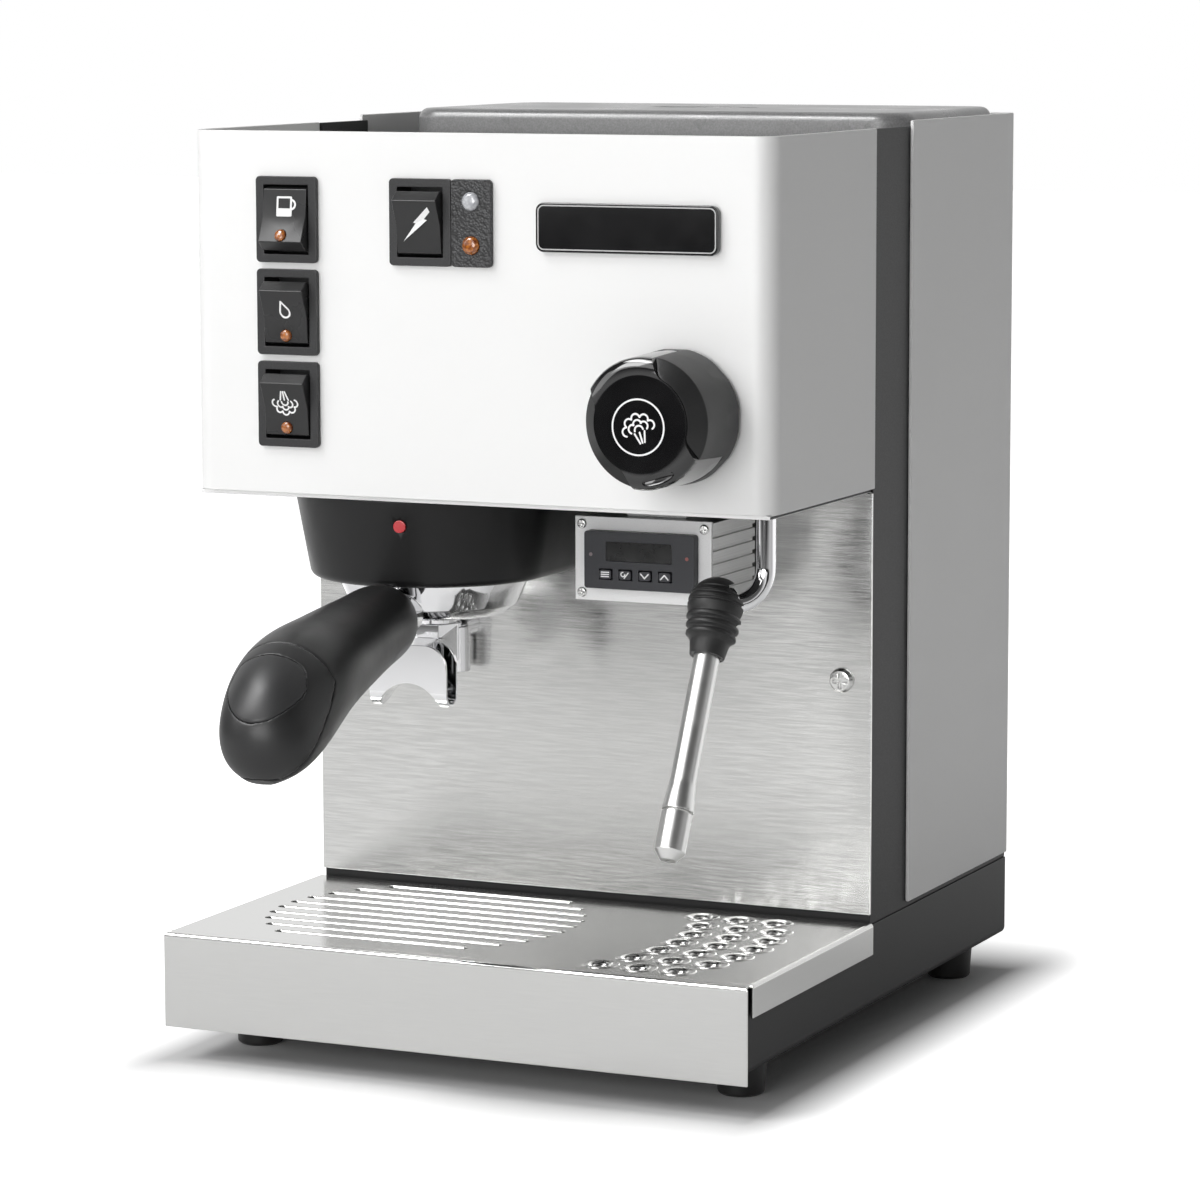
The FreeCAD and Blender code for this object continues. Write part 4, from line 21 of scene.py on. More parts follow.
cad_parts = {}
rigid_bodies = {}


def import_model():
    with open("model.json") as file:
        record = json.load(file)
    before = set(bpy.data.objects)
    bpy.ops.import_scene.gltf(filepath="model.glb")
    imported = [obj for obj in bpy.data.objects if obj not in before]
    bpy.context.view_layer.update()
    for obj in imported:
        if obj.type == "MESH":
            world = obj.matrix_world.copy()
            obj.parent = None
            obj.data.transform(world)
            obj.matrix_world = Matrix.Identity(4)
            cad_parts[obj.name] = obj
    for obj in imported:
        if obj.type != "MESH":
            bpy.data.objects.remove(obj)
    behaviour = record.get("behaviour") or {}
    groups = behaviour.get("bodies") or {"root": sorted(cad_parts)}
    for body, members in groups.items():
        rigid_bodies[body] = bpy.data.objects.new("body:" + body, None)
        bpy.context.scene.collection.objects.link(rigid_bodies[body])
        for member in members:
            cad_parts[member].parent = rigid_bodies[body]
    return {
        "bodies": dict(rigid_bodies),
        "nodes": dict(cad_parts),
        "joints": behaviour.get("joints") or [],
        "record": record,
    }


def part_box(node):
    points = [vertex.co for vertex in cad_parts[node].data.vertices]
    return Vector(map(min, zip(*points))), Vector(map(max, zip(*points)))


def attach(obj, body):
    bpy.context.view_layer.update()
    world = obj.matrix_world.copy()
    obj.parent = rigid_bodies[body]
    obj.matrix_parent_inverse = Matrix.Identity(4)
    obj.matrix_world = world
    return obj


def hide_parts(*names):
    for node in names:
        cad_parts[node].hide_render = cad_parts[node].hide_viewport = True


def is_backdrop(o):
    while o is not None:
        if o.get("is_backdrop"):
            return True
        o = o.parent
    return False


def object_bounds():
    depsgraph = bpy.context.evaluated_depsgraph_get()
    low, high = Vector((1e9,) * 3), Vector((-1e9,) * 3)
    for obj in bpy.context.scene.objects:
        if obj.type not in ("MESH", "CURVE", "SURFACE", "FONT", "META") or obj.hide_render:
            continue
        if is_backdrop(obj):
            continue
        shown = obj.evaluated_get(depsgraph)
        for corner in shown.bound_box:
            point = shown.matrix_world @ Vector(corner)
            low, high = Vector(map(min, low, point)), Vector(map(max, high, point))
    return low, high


LOG = logging.getLogger("espresso_machine")
MM = 0.001
WELD = 1e-6
FRONT = Vector((0.0, -1.0, 0.0))
UP = Vector((0.0, 0.0, 1.0))
WHITE = (1.0, 1.0, 1.0)

Colour = tuple[float, float, float]
Point2 = tuple[float, float]
Rows = Sequence[tuple]
Mesh = bmesh.types.BMesh
Socket = bpy.types.NodeSocket
Object = bpy.types.Object


class Nodes:
    """A node tree, and the textures that are laid in it."""

    def __init__(self, tree: bpy.types.NodeTree, space: str) -> None:
        """Empty a tree and add its coordinates.

        Args:
            tree: The tree.
            space: Name of the coordinates that its textures use.
        """
        self.tree = tree
        tree.nodes.clear()
        self.coordinates = self.node("ShaderNodeTexCoord").outputs[space]

    def put(self, target: Socket, value: object) -> None:
        """Join an output to an input, or set the input to a plain value.

        Args:
            target: The input.
            value: The output or the plain value.
        """
        if isinstance(value, Socket):
            self.tree.links.new(value, target)
        else:
            target.default_value = value

    def node(self, kind: str, inputs: dict[str | int, object] | None = None,
             **settings: object) -> bpy.types.Node:
        """Add a node.

        Args:
            kind: Blender's name of the node type.
            inputs: An output or a plain value for each input, by its name or number.
            **settings: Attributes to set on it.

        Returns:
            The new node.
        """
        made = self.tree.nodes.new(kind)
        for key, value in settings.items():
            setattr(made, key, value)
        for key, value in (inputs or {}).items():
            self.put(made.inputs[key], value)
        return made

    def axes(self) -> bpy.types.NodeOutputs:
        """Return the coordinates' X, Y and Z."""
        return self.node("ShaderNodeSeparateXYZ", {"Vector": self.coordinates}).outputs

    def rays(self) -> tuple[Socket, Socket]:
        """Return whether the camera looks, and whether a reflection or a clear piece does."""
        path = self.node("ShaderNodeLightPath").outputs
        mirrored = self.maths("MAXIMUM", path["Is Glossy Ray"], path["Is Transmission Ray"])
        return path["Is Camera Ray"], mirrored

    def spread(self, stretch: float | Sequence[float]) -> Socket:
        """Return the coordinates, scaled to repeats per metre that are even or differ along X, Y and Z."""
        scale = (stretch,) * 3 if isinstance(stretch, float) else tuple(stretch)
        return self.node("ShaderNodeMapping", {"Scale": scale, "Vector": self.coordinates}).outputs["Vector"]

    def noise(self, stretch: float | Sequence[float], detail: float = 3.0, rough: float = 0.55) -> Socket:
        """Return noise about 0.5, of some octaves that each keep a share of the one before."""
        inputs = {"Scale": 1.0, "Detail": detail, "Roughness": rough, "Vector": self.spread(stretch)}
        return self.node("ShaderNodeTexNoise", inputs).outputs["Fac"]

    def cells(self, stretch: float | Sequence[float]) -> Socket:
        """Return the distance to the nearest middle of smooth cells, for moulded grain."""
        inputs = {"Scale": 1.0, "Vector": self.spread(stretch)}
        return self.node("ShaderNodeTexVoronoi", inputs, feature="SMOOTH_F1").outputs["Distance"]

    def between(self, value: Socket, low: float, high: float, start: float = 0.3, end: float = 0.7) -> Socket:
        """Carry a texture's range, from start to end, over to the range from low to high."""
        inputs = {"Value": value, "From Min": start, "From Max": end, "To Min": low, "To Max": high}
        return self.node("ShaderNodeMapRange", inputs).outputs["Result"]

    def near(self, value: Socket, middle: float, band: Point2, *limits: float) -> Socket:
        """Carry a texture's range over to a band about a number, with the limits that between takes."""
        return self.between(value, middle + band[0], middle + band[1], *limits)

    def maths(self, operation: str, first: Socket, second: Socket | float = 0.0) -> Socket:
        """Join two values by an operation that goes by Blender's name of it."""
        return self.node("ShaderNodeMath", {0: first, 1: second}, operation=operation).outputs["Value"]

    def mix(self, factor: Socket, first: object, second: object, kind: str = "FLOAT") -> Socket:
        """Blend two values, or two colours when the kind is RGBA."""
        inputs = {"Factor": factor, "A": first, "B": second}
        return self.node("ShaderNodeMix", inputs, data_type=kind).outputs["Result"]

    def tint(self, factor: Socket, first: Colour, second: Colour, start: float = 0.3,
             end: float = 0.7) -> Socket:
        """Blend two colours by a texture.

        Args:
            factor: The texture.
            first: Colour at the start.
            second: Colour at the end.
            start: Value that gives the first colour.
            end: Value that gives the second colour.

        Returns:
            The blended colour.
        """
        ramp = self.node("ShaderNodeValToRGB", {"Fac": factor})
        for stop, position, colour in zip(ramp.color_ramp.elements, (start, end), (first, second)):
            stop.position = position
            stop.color = (*colour, 1.0)
        return ramp.outputs["Color"]

    def bump(self, height: Socket, depth: float, strength: float, under: Socket | None = None) -> Socket:
        """Raise the surface by a texture.

        Args:
            height: The texture.
            depth: Height of the relief in millimetres.
            strength: Share of the relief that is used.
            under: Normal of a coarser relief below this one.

        Returns:
            The changed normal.
        """
        inputs = {"Distance": depth * MM, "Strength": strength, "Height": height}
        if under is not None:
            inputs["Normal"] = under
        return self.node("ShaderNodeBump", inputs).outputs["Normal"]


class Graph(Nodes):
    """Nodes of one material, with a Principled shader at their end."""

    def __init__(self, name: str) -> None:
        """Start a material.

        Args:
            name: Its name.
        """
        self.material = bpy.data.materials.new(name)
        self.material.use_nodes = True
        super().__init__(self.material.node_tree, "Object")
        self.shader = self.node("ShaderNodeBsdfPrincipled")
        self.node("ShaderNodeOutputMaterial", {"Surface": self.shader.outputs["BSDF"]})

    def set(self, **values: object) -> None:
        """Fill the shader's own inputs.

        Args:
            **values: Names of inputs in lower case with underscores, and an output or a plain value for each.
        """
        for key, value in values.items():
            name = key.replace("_", " ").title().replace("Ior", "IOR")
            self.put(self.shader.inputs[name], (*value, 1.0) if isinstance(value, tuple) else value)


def shade(colour: Colour, share: float) -> Colour:
    """Return a colour made lighter or darker by a share."""
    return tuple(min(1.0, max(0.0, part * share)) for part in colour)


@dataclass(frozen=True)
class Finish:
    """A surface finish that makes its material once and keeps it."""

    name: str
    slot: str
    colour: Colour
    made: ClassVar[dict[str, bpy.types.Material]] = {}

    def material(self) -> bpy.types.Material:
        """Return the finish's material, made on first use."""
        if self.name not in self.made:
            graph = Graph(self.name)
            self.wire(graph)
            self.made[self.name] = graph.material
        return self.made[self.name]

    def tones(self, low: float, high: float) -> tuple[Colour, Colour]:
        """Return the finish's colour at two shares of its lightness."""
        return shade(self.colour, low), shade(self.colour, high)

    def wire(self, graph: Graph) -> None:
        """Lay out the finish's nodes in a graph."""
        raise NotImplementedError


@dataclass(frozen=True)
class PowderCoat(Finish):
    """Sprayed and baked paint with a fine orange peel."""

    rough: float = 0.4
    peel: float = 700.0
    depth: float = 0.02
    mottle: float = 0.02
    gloss: float = 0.5
    CLOUD: ClassVar[float] = 9.0
    BAND: ClassVar[Point2] = (-0.05, 0.06)

    def wire(self, graph: Graph) -> None:
        """Mottle the colour a little and raise the peel."""
        cloud, peel = graph.noise(self.CLOUD, detail=2.0), graph.noise(self.peel, detail=2.0)
        graph.set(
            specular_ior_level=self.gloss,
            base_color=graph.tint(cloud, *self.tones(1.0 - self.mottle, 1.0 + self.mottle)),
            roughness=graph.near(peel, self.rough, self.BAND),
            normal=graph.bump(peel, self.depth, strength=0.5),
        )


class Brush(Enum):
    """Way that the lines of a brushed or turned metal run, as repeats per millimetre along X, Y and Z."""

    ACROSS = (0.07, 1.9, 1.9)
    DEEP = (3.2, 0.012, 3.2)
    SATIN = (1.6, 1.6, 1.6)


@dataclass(frozen=True)
class BrushedMetal(Finish):
    """Metal with fine brush lines that differ a little in tone, gloss and height."""

    rough: float = 0.3
    brush: Brush = Brush.ACROSS
    depth: float = 0.006
    anisotropy: float = 0.7
    drift: float = 0.06
    gloss_drift: float = 0.06
    QUARTER_TURN: ClassVar[float] = 0.25
    TONE_RANGE: ClassVar[Point2] = (0.4, 0.6)

    def wire(self, graph: Graph) -> None:
        """Stretch noise along the brush lines for tone, gloss and relief."""
        lines = graph.noise([part / MM for part in self.brush.value], detail=4.0, rough=0.7)
        tangent = graph.node("ShaderNodeTangent", direction_type="RADIAL", axis="Z")
        graph.set(
            metallic=1.0,
            anisotropic=self.anisotropy,
            anisotropic_rotation=self.QUARTER_TURN,
            base_color=graph.tint(lines, *self.tones(1.0 - self.drift, 1.0 + self.drift), *self.TONE_RANGE),
            roughness=graph.near(lines, self.rough, (-self.gloss_drift, self.gloss_drift)),
            normal=graph.bump(lines, self.depth, strength=0.4),
            tangent=tangent.outputs["Tangent"],
        )


@dataclass(frozen=True)
class PolishedMetal(Finish):
    """Plated or polished metal with faint smears and a slight ripple."""

    rough: float = 0.06
    smear: float = 0.05
    ripple: float = 0.01
    TONES: ClassVar[Point2] = (0.96, 1.0)
    SMEARS: ClassVar[tuple[float, float, float]] = (55.0, 55.0, 90.0)
    SMEAR_RANGE: ClassVar[Point2] = (0.45, 0.75)
    RIPPLES: ClassVar[float] = 120.0

    def wire(self, graph: Graph) -> None:
        """Smear the gloss in soft patches and ripple the surface."""
        smear = graph.noise(self.SMEARS, detail=4.0, rough=0.65)
        graph.set(
            metallic=1.0,
            base_color=graph.tint(smear, *self.tones(*self.TONES)),
            roughness=graph.near(smear, self.rough, (0.0, self.smear), *self.SMEAR_RANGE),
            normal=graph.bump(graph.noise(self.RIPPLES, detail=1.0), self.ripple, strength=0.25),
        )


@dataclass(frozen=True)
class CastMetal(Finish):
    """Cast or machined metal with a dull skin and darker patches."""

    rough: float = 0.38
    patch: float = 0.75
    PATCHES: ClassVar[float] = 70.0
    PITS: ClassVar[float] = 1500.0
    BAND: ClassVar[Point2] = (0.15, 0.0)

    def wire(self, graph: Graph) -> None:
        """Darken patches and pit the skin."""
        patches = graph.noise(self.PATCHES, detail=5.0, rough=0.6)
        graph.set(
            metallic=1.0,
            base_color=graph.tint(patches, *self.tones(self.patch, 1.0)),
            roughness=graph.near(patches, self.rough, self.BAND),
            normal=graph.bump(graph.noise(self.PITS, detail=2.0), depth=0.03, strength=0.35),
        )


@dataclass(frozen=True)
class Moulding(Finish):
    """Moulded plastic with a spark-eroded grain."""

    rough: float = 0.45
    grain: float = 1600.0
    depth: float = 0.05
    speck: float = 0.12
    gloss: float = 0.4
    CLOUD: ClassVar[float] = 38.0
    BAND: ClassVar[Point2] = (-0.05, 0.07)

    def wire(self, graph: Graph) -> None:
        """Speckle the colour with the grain and raise it."""
        grain = graph.noise(self.grain, rough=0.6)
        graph.set(
            specular_ior_level=self.gloss,
            base_color=graph.tint(grain, *self.tones(1.0 - self.speck, 1.0 + self.speck)),
            roughness=graph.near(graph.noise(self.CLOUD), self.rough, self.BAND),
            normal=graph.bump(grain, self.depth, strength=0.6),
        )


@dataclass(frozen=True)
class Leathergrain(Finish):
    """Coarse leather-like grain of a moulded plate, with painted highlight and shade on its cells."""

    rough: float = 0.38
    grain: float = 1250.0
    depth: float = 0.4
    # Shares of the colour: a painted highlight on the cell tops, then painted shade in the valleys.
    TONES: ClassVar[Point2] = (1.9, 0.35)
    FINER: ClassVar[float] = 2.2
    BAND: ClassVar[Point2] = (-0.06, 0.12)
    CELL_RANGE: ClassVar[Point2] = (0.15, 0.6)

    def wire(self, graph: Graph) -> None:
        """Raise round cells, with painted highlights on their tops and painted shade in the valleys."""
        cells = graph.cells(self.grain)
        fine = graph.noise(self.grain * self.FINER, detail=2.0)
        cushions = graph.bump(cells, -self.depth, strength=0.8)
        graph.set(
            # Painted light: lighter tops and darker valleys follow the cells' relief, not the plastic's own
            # colour.
            base_color=graph.tint(cells, *self.tones(*self.TONES), *self.CELL_RANGE),
            roughness=graph.near(fine, self.rough, self.BAND),
            normal=graph.bump(fine, depth=0.03, strength=0.4, under=cushions),
        )


@dataclass(frozen=True)
class GlossPlastic(Finish):
    """Polished plastic with a clear gloss and a trace of dust."""

    rough: float = 0.09
    dust: float = 0.12
    BAND: ClassVar[Point2] = (0.0, 0.06)
    DUST: ClassVar[float] = 2600.0
    DUST_RANGE: ClassVar[Point2] = (0.66, 0.8)
    DUST_LIFT: ClassVar[float] = 8.0
    SMEARS: ClassVar[float] = 60.0
    SMEAR_RANGE: ClassVar[Point2] = (0.4, 0.75)

    def wire(self, graph: Graph) -> None:
        """Scatter dust over the gloss."""
        dust = graph.noise(self.DUST, detail=2.0, rough=0.7)
        dusty = 1.0 + self.DUST_LIFT * self.dust
        smear = graph.noise(self.SMEARS, detail=4.0)
        graph.set(
            coat_weight=0.6,
            coat_roughness=0.04,
            base_color=graph.tint(dust, *self.tones(1.0, dusty), *self.DUST_RANGE),
            roughness=graph.near(smear, self.rough, self.BAND, *self.SMEAR_RANGE),
        )


@dataclass(frozen=True)
class SoftRubber(Finish):
    """Matt rubber with a dusty bloom in patches."""

    rough: float = 0.62
    TONES: ClassVar[Point2] = (0.85, 1.45)
    BLOOM: ClassVar[float] = 130.0
    BLOOM_RANGE: ClassVar[Point2] = (0.35, 0.8)
    TOOTH: ClassVar[float] = 2200.0
    BAND: ClassVar[Point2] = (-0.1, 0.1)

    def wire(self, graph: Graph) -> None:
        """Bloom the colour and give it a fine tooth."""
        bloom = graph.noise(self.BLOOM, detail=4.0, rough=0.65)
        graph.set(
            sheen_weight=0.1,
            sheen_roughness=0.5,
            base_color=graph.tint(bloom, *self.tones(*self.TONES), *self.BLOOM_RANGE),
            roughness=graph.near(bloom, self.rough, self.BAND),
            normal=graph.bump(graph.noise(self.TOOTH, detail=2.0), depth=0.03, strength=0.5),
        )


@dataclass(frozen=True)
class LampLens(Finish):
    """Tinted lens with a cloudy heart and a glossy skin."""

    deep: Colour = (0.2, 0.04, 0.005)
    clear: float = 0.25
    facets: float = 900.0

    def wire(self, graph: Graph) -> None:
        """Cloud the tint in small facets."""
        facets = graph.cells(self.facets)
        graph.set(
            coat_weight=1.0,
            coat_roughness=0.03,
            transmission_weight=self.clear,
            ior=1.49,
            base_color=graph.tint(facets, self.colour, self.deep, start=0.1, end=0.75),
            roughness=graph.between(facets, low=0.08, high=0.2, start=0.1, end=0.7),
        )


@dataclass(frozen=True)
class SmokedGlass(Finish):
    """Dark glass over a readout."""

    rough: float = 0.12
    TONES: ClassVar[Point2] = (0.8, 1.2)
    BAND: ClassVar[Point2] = (0.0, 0.08)
    SMOKE: ClassVar[float] = 160.0

    def wire(self, graph: Graph) -> None:
        """Vary the depth of the smoke a little."""
        smoke = graph.noise(self.SMOKE)
        graph.set(
            coat_weight=0.5,
            coat_roughness=0.05,
            base_color=graph.tint(smoke, *self.tones(*self.TONES)),
            roughness=graph.near(smoke, self.rough, self.BAND),
        )


@dataclass(frozen=True)
class ClearPlastic(Finish):
    """Clear moulded plastic, slightly hazed."""

    clear: float = 0.75
    TONES: ClassVar[Point2] = (1.0, 0.9)
    HAZE: ClassVar[float] = 40.0

    def wire(self, graph: Graph) -> None:
        """Haze the wall in patches."""
        haze = graph.noise(self.HAZE, detail=4.0)
        graph.set(
            transmission_weight=self.clear,
            ior=1.49,
            base_color=graph.tint(haze, *self.tones(*self.TONES)),
            roughness=graph.between(haze, low=0.1, high=0.28),
        )


@dataclass(frozen=True)
class PrintInk(Finish):
    """Pad-printed ink with a slightly uneven film."""

    rough: float = 0.5
    TONES: ClassVar[Point2] = (0.9, 1.0)
    SPOTS: ClassVar[float] = 1800.0
    BAND: ClassVar[Point2] = (-0.08, 0.08)

    def wire(self, graph: Graph) -> None:
        """Thin the film in fine spots."""
        film = graph.noise(self.SPOTS)
        graph.set(
            base_color=graph.tint(film, *self.tones(*self.TONES), start=0.3, end=0.5),
            roughness=graph.near(film, self.rough, self.BAND),
        )


WHITE_COAT = PowderCoat("white_coat", "white_paint", (0.86, 0.86, 0.855), rough=0.42, peel=650.0,
                        mottle=0.012)
BLACK_COAT = PowderCoat("black_coat", "black_paint", (0.014, 0.014, 0.0145), rough=0.5, peel=2600.0,
                        depth=0.05, mottle=0.15, gloss=0.25)
ALUMINIUM = PowderCoat("aluminium", "face_aluminium", (0.92, 0.92, 0.92), rough=0.3, peel=2200.0, depth=0.006,
                       mottle=0.01, gloss=0.7)
BRUSHED_STEEL = BrushedMetal("brushed_steel", "stainless", (0.62, 0.62, 0.61), rough=0.22, depth=0.002,
                             drift=0.09, gloss_drift=0.05)
COVER_STEEL = BrushedMetal("cover_steel", "stainless", (0.62, 0.62, 0.61), rough=0.16, depth=0.0002,
                           anisotropy=0.4, drift=0.015, gloss_drift=0.015)
TRAY_STEEL = BrushedMetal("tray_steel", "stainless", (0.6, 0.6, 0.59), rough=0.36)
BASKET_STEEL = BrushedMetal("basket_steel", "basket_steel", (0.6, 0.6, 0.59), brush=Brush.SATIN,
                            anisotropy=0.0)
SCREW_STEEL = BrushedMetal("screw_steel", "stainless", (0.66, 0.66, 0.65), rough=0.24, brush=Brush.SATIN,
                           depth=0.004, anisotropy=0.0)
BOX_ALUMINIUM = BrushedMetal("box_aluminium", "face_aluminium", (0.62, 0.62, 0.62), rough=0.42,
                             brush=Brush.DEEP, anisotropy=0.0)
RIM_STEEL = PolishedMetal("rim_steel", "stainless", (0.66, 0.66, 0.65), rough=0.14)
CHROME = PolishedMetal("chrome", "chrome_plate", (0.82, 0.82, 0.83), rough=0.05)
POLISHED_STEEL = PolishedMetal("polished_steel", "polished_steel", (0.72, 0.72, 0.71), rough=0.28, smear=0.08)
BRASS = CastMetal("brass", "brass", (0.72, 0.54, 0.26), rough=0.34)
BLACK_MOULDING = Moulding("black_moulding", "black_plastic", (0.028, 0.028, 0.03), rough=0.42, grain=1700.0,
                          depth=0.04)
GROUP_MOULDING = Moulding("group_moulding", "black_plastic", (0.008, 0.008, 0.0083), rough=0.36, grain=2400.0,
                          depth=0.02, speck=0.06, gloss=0.3)
GRIP_MOULDING = Moulding("grip_moulding", "black_plastic", (0.011, 0.011, 0.0114), rough=0.4, grain=2600.0,
                         depth=0.012, speck=0.06, gloss=0.5)
PLATE_MOULDING = Moulding("plate_moulding", "black_plastic", (0.035, 0.035, 0.036), rough=0.36, grain=2600.0,
                          depth=0.02, speck=0.08)
LID_MOULDING = Moulding("lid_moulding", "black_plastic", (0.21, 0.21, 0.212), rough=0.3, grain=1500.0,
                        speck=0.2, gloss=0.7)
ROCKER_MOULDING = Moulding("rocker_moulding", "black_plastic", (0.022, 0.022, 0.0225), rough=0.3,
                           grain=2600.0, depth=0.015, speck=0.05)
BEZEL_MOULDING = Moulding("bezel_moulding", "black_plastic", (0.026, 0.026, 0.027), rough=0.42, grain=1500.0,
                          depth=0.08, speck=0.25)
KNOB_MOULDING = Moulding("knob_moulding", "black_plastic", (0.016, 0.016, 0.0164), rough=0.42, grain=2200.0)
COIL_MOULDING = Moulding("coil_moulding", "coil_plastic", (0.05, 0.05, 0.058), rough=0.5, grain=1200.0)
SEAT_MOULDING = Moulding("seat_moulding", "seat_plastic", (0.84, 0.84, 0.82), rough=0.4, grain=1800.0,
                         depth=0.02, speck=0.03)
SLATE_MOULDING = Moulding("slate_moulding", "display_black", (0.034, 0.035, 0.04), rough=0.4, grain=2400.0,
                          depth=0.02, speck=0.06)
KEY_MOULDING = Moulding("key_moulding", "key_grey", (0.042, 0.043, 0.049), rough=0.48, grain=2400.0,
                        depth=0.02, speck=0.06)
# The plate's grain carries a painted highlight on its cells and painted shade between them.
PLATE_GRAIN = Leathergrain("plate_grain", "black_plastic", (0.022, 0.022, 0.0235))
GLOSS_BLACK = GlossPlastic("gloss_black", "gloss_black", (0.005, 0.005, 0.0055))
RED_GLOSS = GlossPlastic("red_gloss", "red_mark", (0.55, 0.028, 0.036), rough=0.15, dust=0.02)
RUBBER = SoftRubber("soft_rubber", "rubber", (0.008, 0.008, 0.008), rough=0.5)
SILICONE = SoftRubber("silicone", "silicone", (0.72, 0.72, 0.7), rough=0.4)
AMBER_LENS = LampLens("amber_lens", "amber_lens", (0.72, 0.24, 0.035))
CLEAR_LENS = LampLens("clear_lens", "tank_plastic", (0.86, 0.87, 0.9), deep=(0.5, 0.51, 0.55), clear=0.35)
DISPLAY_GLASS = SmokedGlass("display_glass", "display_glass", (0.022, 0.022, 0.022))
TANK_PLASTIC = ClearPlastic("tank_plastic", "tank_plastic", (0.86, 0.88, 0.9))
WHITE_INK = PrintInk("white_ink", "white_paint", (0.9, 0.9, 0.9))
DIM_INK = PrintInk("dim_ink", "key_grey", (0.2, 0.16, 0.17))
RED_INK = PrintInk("red_ink", "red_mark", (0.3, 0.09, 0.08))
EDGE_INK = PrintInk("edge_ink", "stainless", (0.5, 0.5, 0.5))


def stand(made: Mesh, name: str) -> Object:
    """Turn a mesh into an object of the scene.

    Args:
        made: The mesh, which is used up.
        name: Name of the object.

    Returns:
        The object.
    """
    mesh = bpy.data.meshes.new(name)
    made.to_mesh(mesh)
    made.free()
    stood = bpy.data.objects.new(name, mesh)
    bpy.context.scene.collection.objects.link(stood)
    return stood


def drop(stood: Object) -> None:
    """Remove an object with its mesh."""
    mesh = stood.data
    bpy.data.objects.remove(stood)
    bpy.data.meshes.remove(mesh)


class Cut(Enum):
    """What a cut keeps."""

    INSIDE = "INTERSECT"
    OUTSIDE = "DIFFERENCE"


class Bench:
    """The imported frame, and the making of pieces that ride on its bodies."""

    SMOOTH_ANGLE = 32.0
    SKIN_ANGLE = 60.0
    EDGE_ANGLE = 30.0
    FLAT_ANGLE = 0.06
    SKIN_PASSES = 6
    SKIN_PULL = 0.5

    def __init__(self) -> None:
        """Load the frame and note which body carries each node."""
        self.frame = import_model()
        self.cad_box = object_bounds()
        bodies = self.frame["record"]["behaviour"]["bodies"]
        self.body_of = {node: body for body, nodes in bodies.items() for node in nodes}

    def solid(self, node: str) -> bpy.types.Mesh:
        """Return the mesh of a node, which stays as it is."""
        return self.frame["nodes"][node].data

    def mesh_of(self, node: str) -> Mesh:
        """Copy a node's solid with its seams welded and its flat faces whole.

        Args:
            node: Name of the node.

        Returns:
            The copied mesh, free of the node.
        """
        made = bmesh.new()
        made.from_mesh(self.solid(node))
        bmesh.ops.remove_doubles(made, verts=made.verts, dist=WELD)
        bmesh.ops.dissolve_limit(made, angle_limit=math.radians(self.FLAT_ANGLE), verts=made.verts,
                                 edges=made.edges)
        for layer in list(made.loops.layers.float_vector.values()):
            made.loops.layers.float_vector.remove(layer)
        return made

    def place(self, made: Mesh, name: str, finish: Finish, body: str, stands_for: Sequence[str] = (),
              angle: float = SMOOTH_ANGLE) -> Object:
        """Turn a mesh into a piece that rides on a body.

        Args:
            made: The mesh, which is used up.
            name: Name of the piece.
            finish: Its finish.
            body: Body that carries it.
            stands_for: Nodes that it replaces.
            angle: Largest angle in degrees between faces that shade as one.

        Returns:
            The piece.
        """
        piece = stand(made, name)
        mesh = piece.data
        for attribute in [item for item in mesh.attributes if item.name == "custom_normal"]:
            mesh.attributes.remove(attribute)
        mesh.materials.clear()
        mesh.materials.append(finish.material())
        mesh.polygons.foreach_set("material_index", [0] * len(mesh.polygons))
        mesh.shade_smooth()
        mesh.set_sharp_from_angle(angle=math.radians(angle))
        piece.modifiers.new("flat_faces_first", "WEIGHTED_NORMAL").keep_sharp = True
        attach(piece, body)
        if stands_for:
            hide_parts(*stands_for)
        LOG.info("%s rides on %s in %s", name, body, finish.name)
        return piece

    def replace(self, node: str, made: Mesh, finish: Finish, angle: float = SMOOTH_ANGLE) -> Object:
        """Replace a node by a mesh of its own finish and smooth angle."""
        return self.place(made, node + "_piece", finish, self.body_of[node], (node,), angle)

    def soften(self, node: str, finish: Finish, width: float, steps: int = 2) -> Object:
        """Replace a node by its own solid with softened edges.

        Args:
            node: Name of the node.
            finish: Its finish.
            width: Width of the softened edges in millimetres.
            steps: Faces across a softened edge.

        Returns:
            The piece.
        """
        made = self.mesh_of(node)
        limit = math.radians(self.EDGE_ANGLE)
        edges = [edge for edge in made.edges if edge.is_manifold and edge.calc_face_angle(0.0) > limit]
        bmesh.ops.bevel(made, geom=edges, offset=width * MM, offset_type="OFFSET", segments=steps,
                        profile=0.5, affect="EDGES", clamp_overlap=False)
        return self.replace(node, made, finish)

    def remould(self, node: str, finish: Finish, voxel: float) -> Object:
        """Replace a node by an even, smooth skin of its own solid.

        Args:
            node: Name of the node.
            finish: Its finish.
            voxel: Size of the skin's faces in millimetres.

        Returns:
            The piece.
        """
        def relax(holder: Object) -> None:
            """Skin the solid and smooth the skin."""
            skin = holder.modifiers.new("skin", "REMESH")
            skin.mode = "VOXEL"
            skin.voxel_size = voxel * MM
            smooth = holder.modifiers.new("smooth", "SMOOTH")
            smooth.iterations = self.SKIN_PASSES
            smooth.factor = self.SKIN_PULL

        return self.replace(node, self.shaped(self.mesh_of(node), relax), finish, self.SKIN_ANGLE)

    @staticmethod
    def shaped(made: Mesh, shape: Callable[[Object], None]) -> Mesh:
        """Shape a mesh by modifiers.

        Args:
            made: The mesh, which is used up.
            shape: Adds the modifiers to the object that holds the mesh.

        Returns:
            The shaped mesh.
        """
        holder = stand(made, "blank")
        shape(holder)
        graph = bpy.context.evaluated_depsgraph_get()
        result = bpy.data.meshes.new_from_object(holder.evaluated_get(graph))
        drop(holder)
        done = bmesh.new()
        done.from_mesh(result)
        bpy.data.meshes.remove(result)
        return done

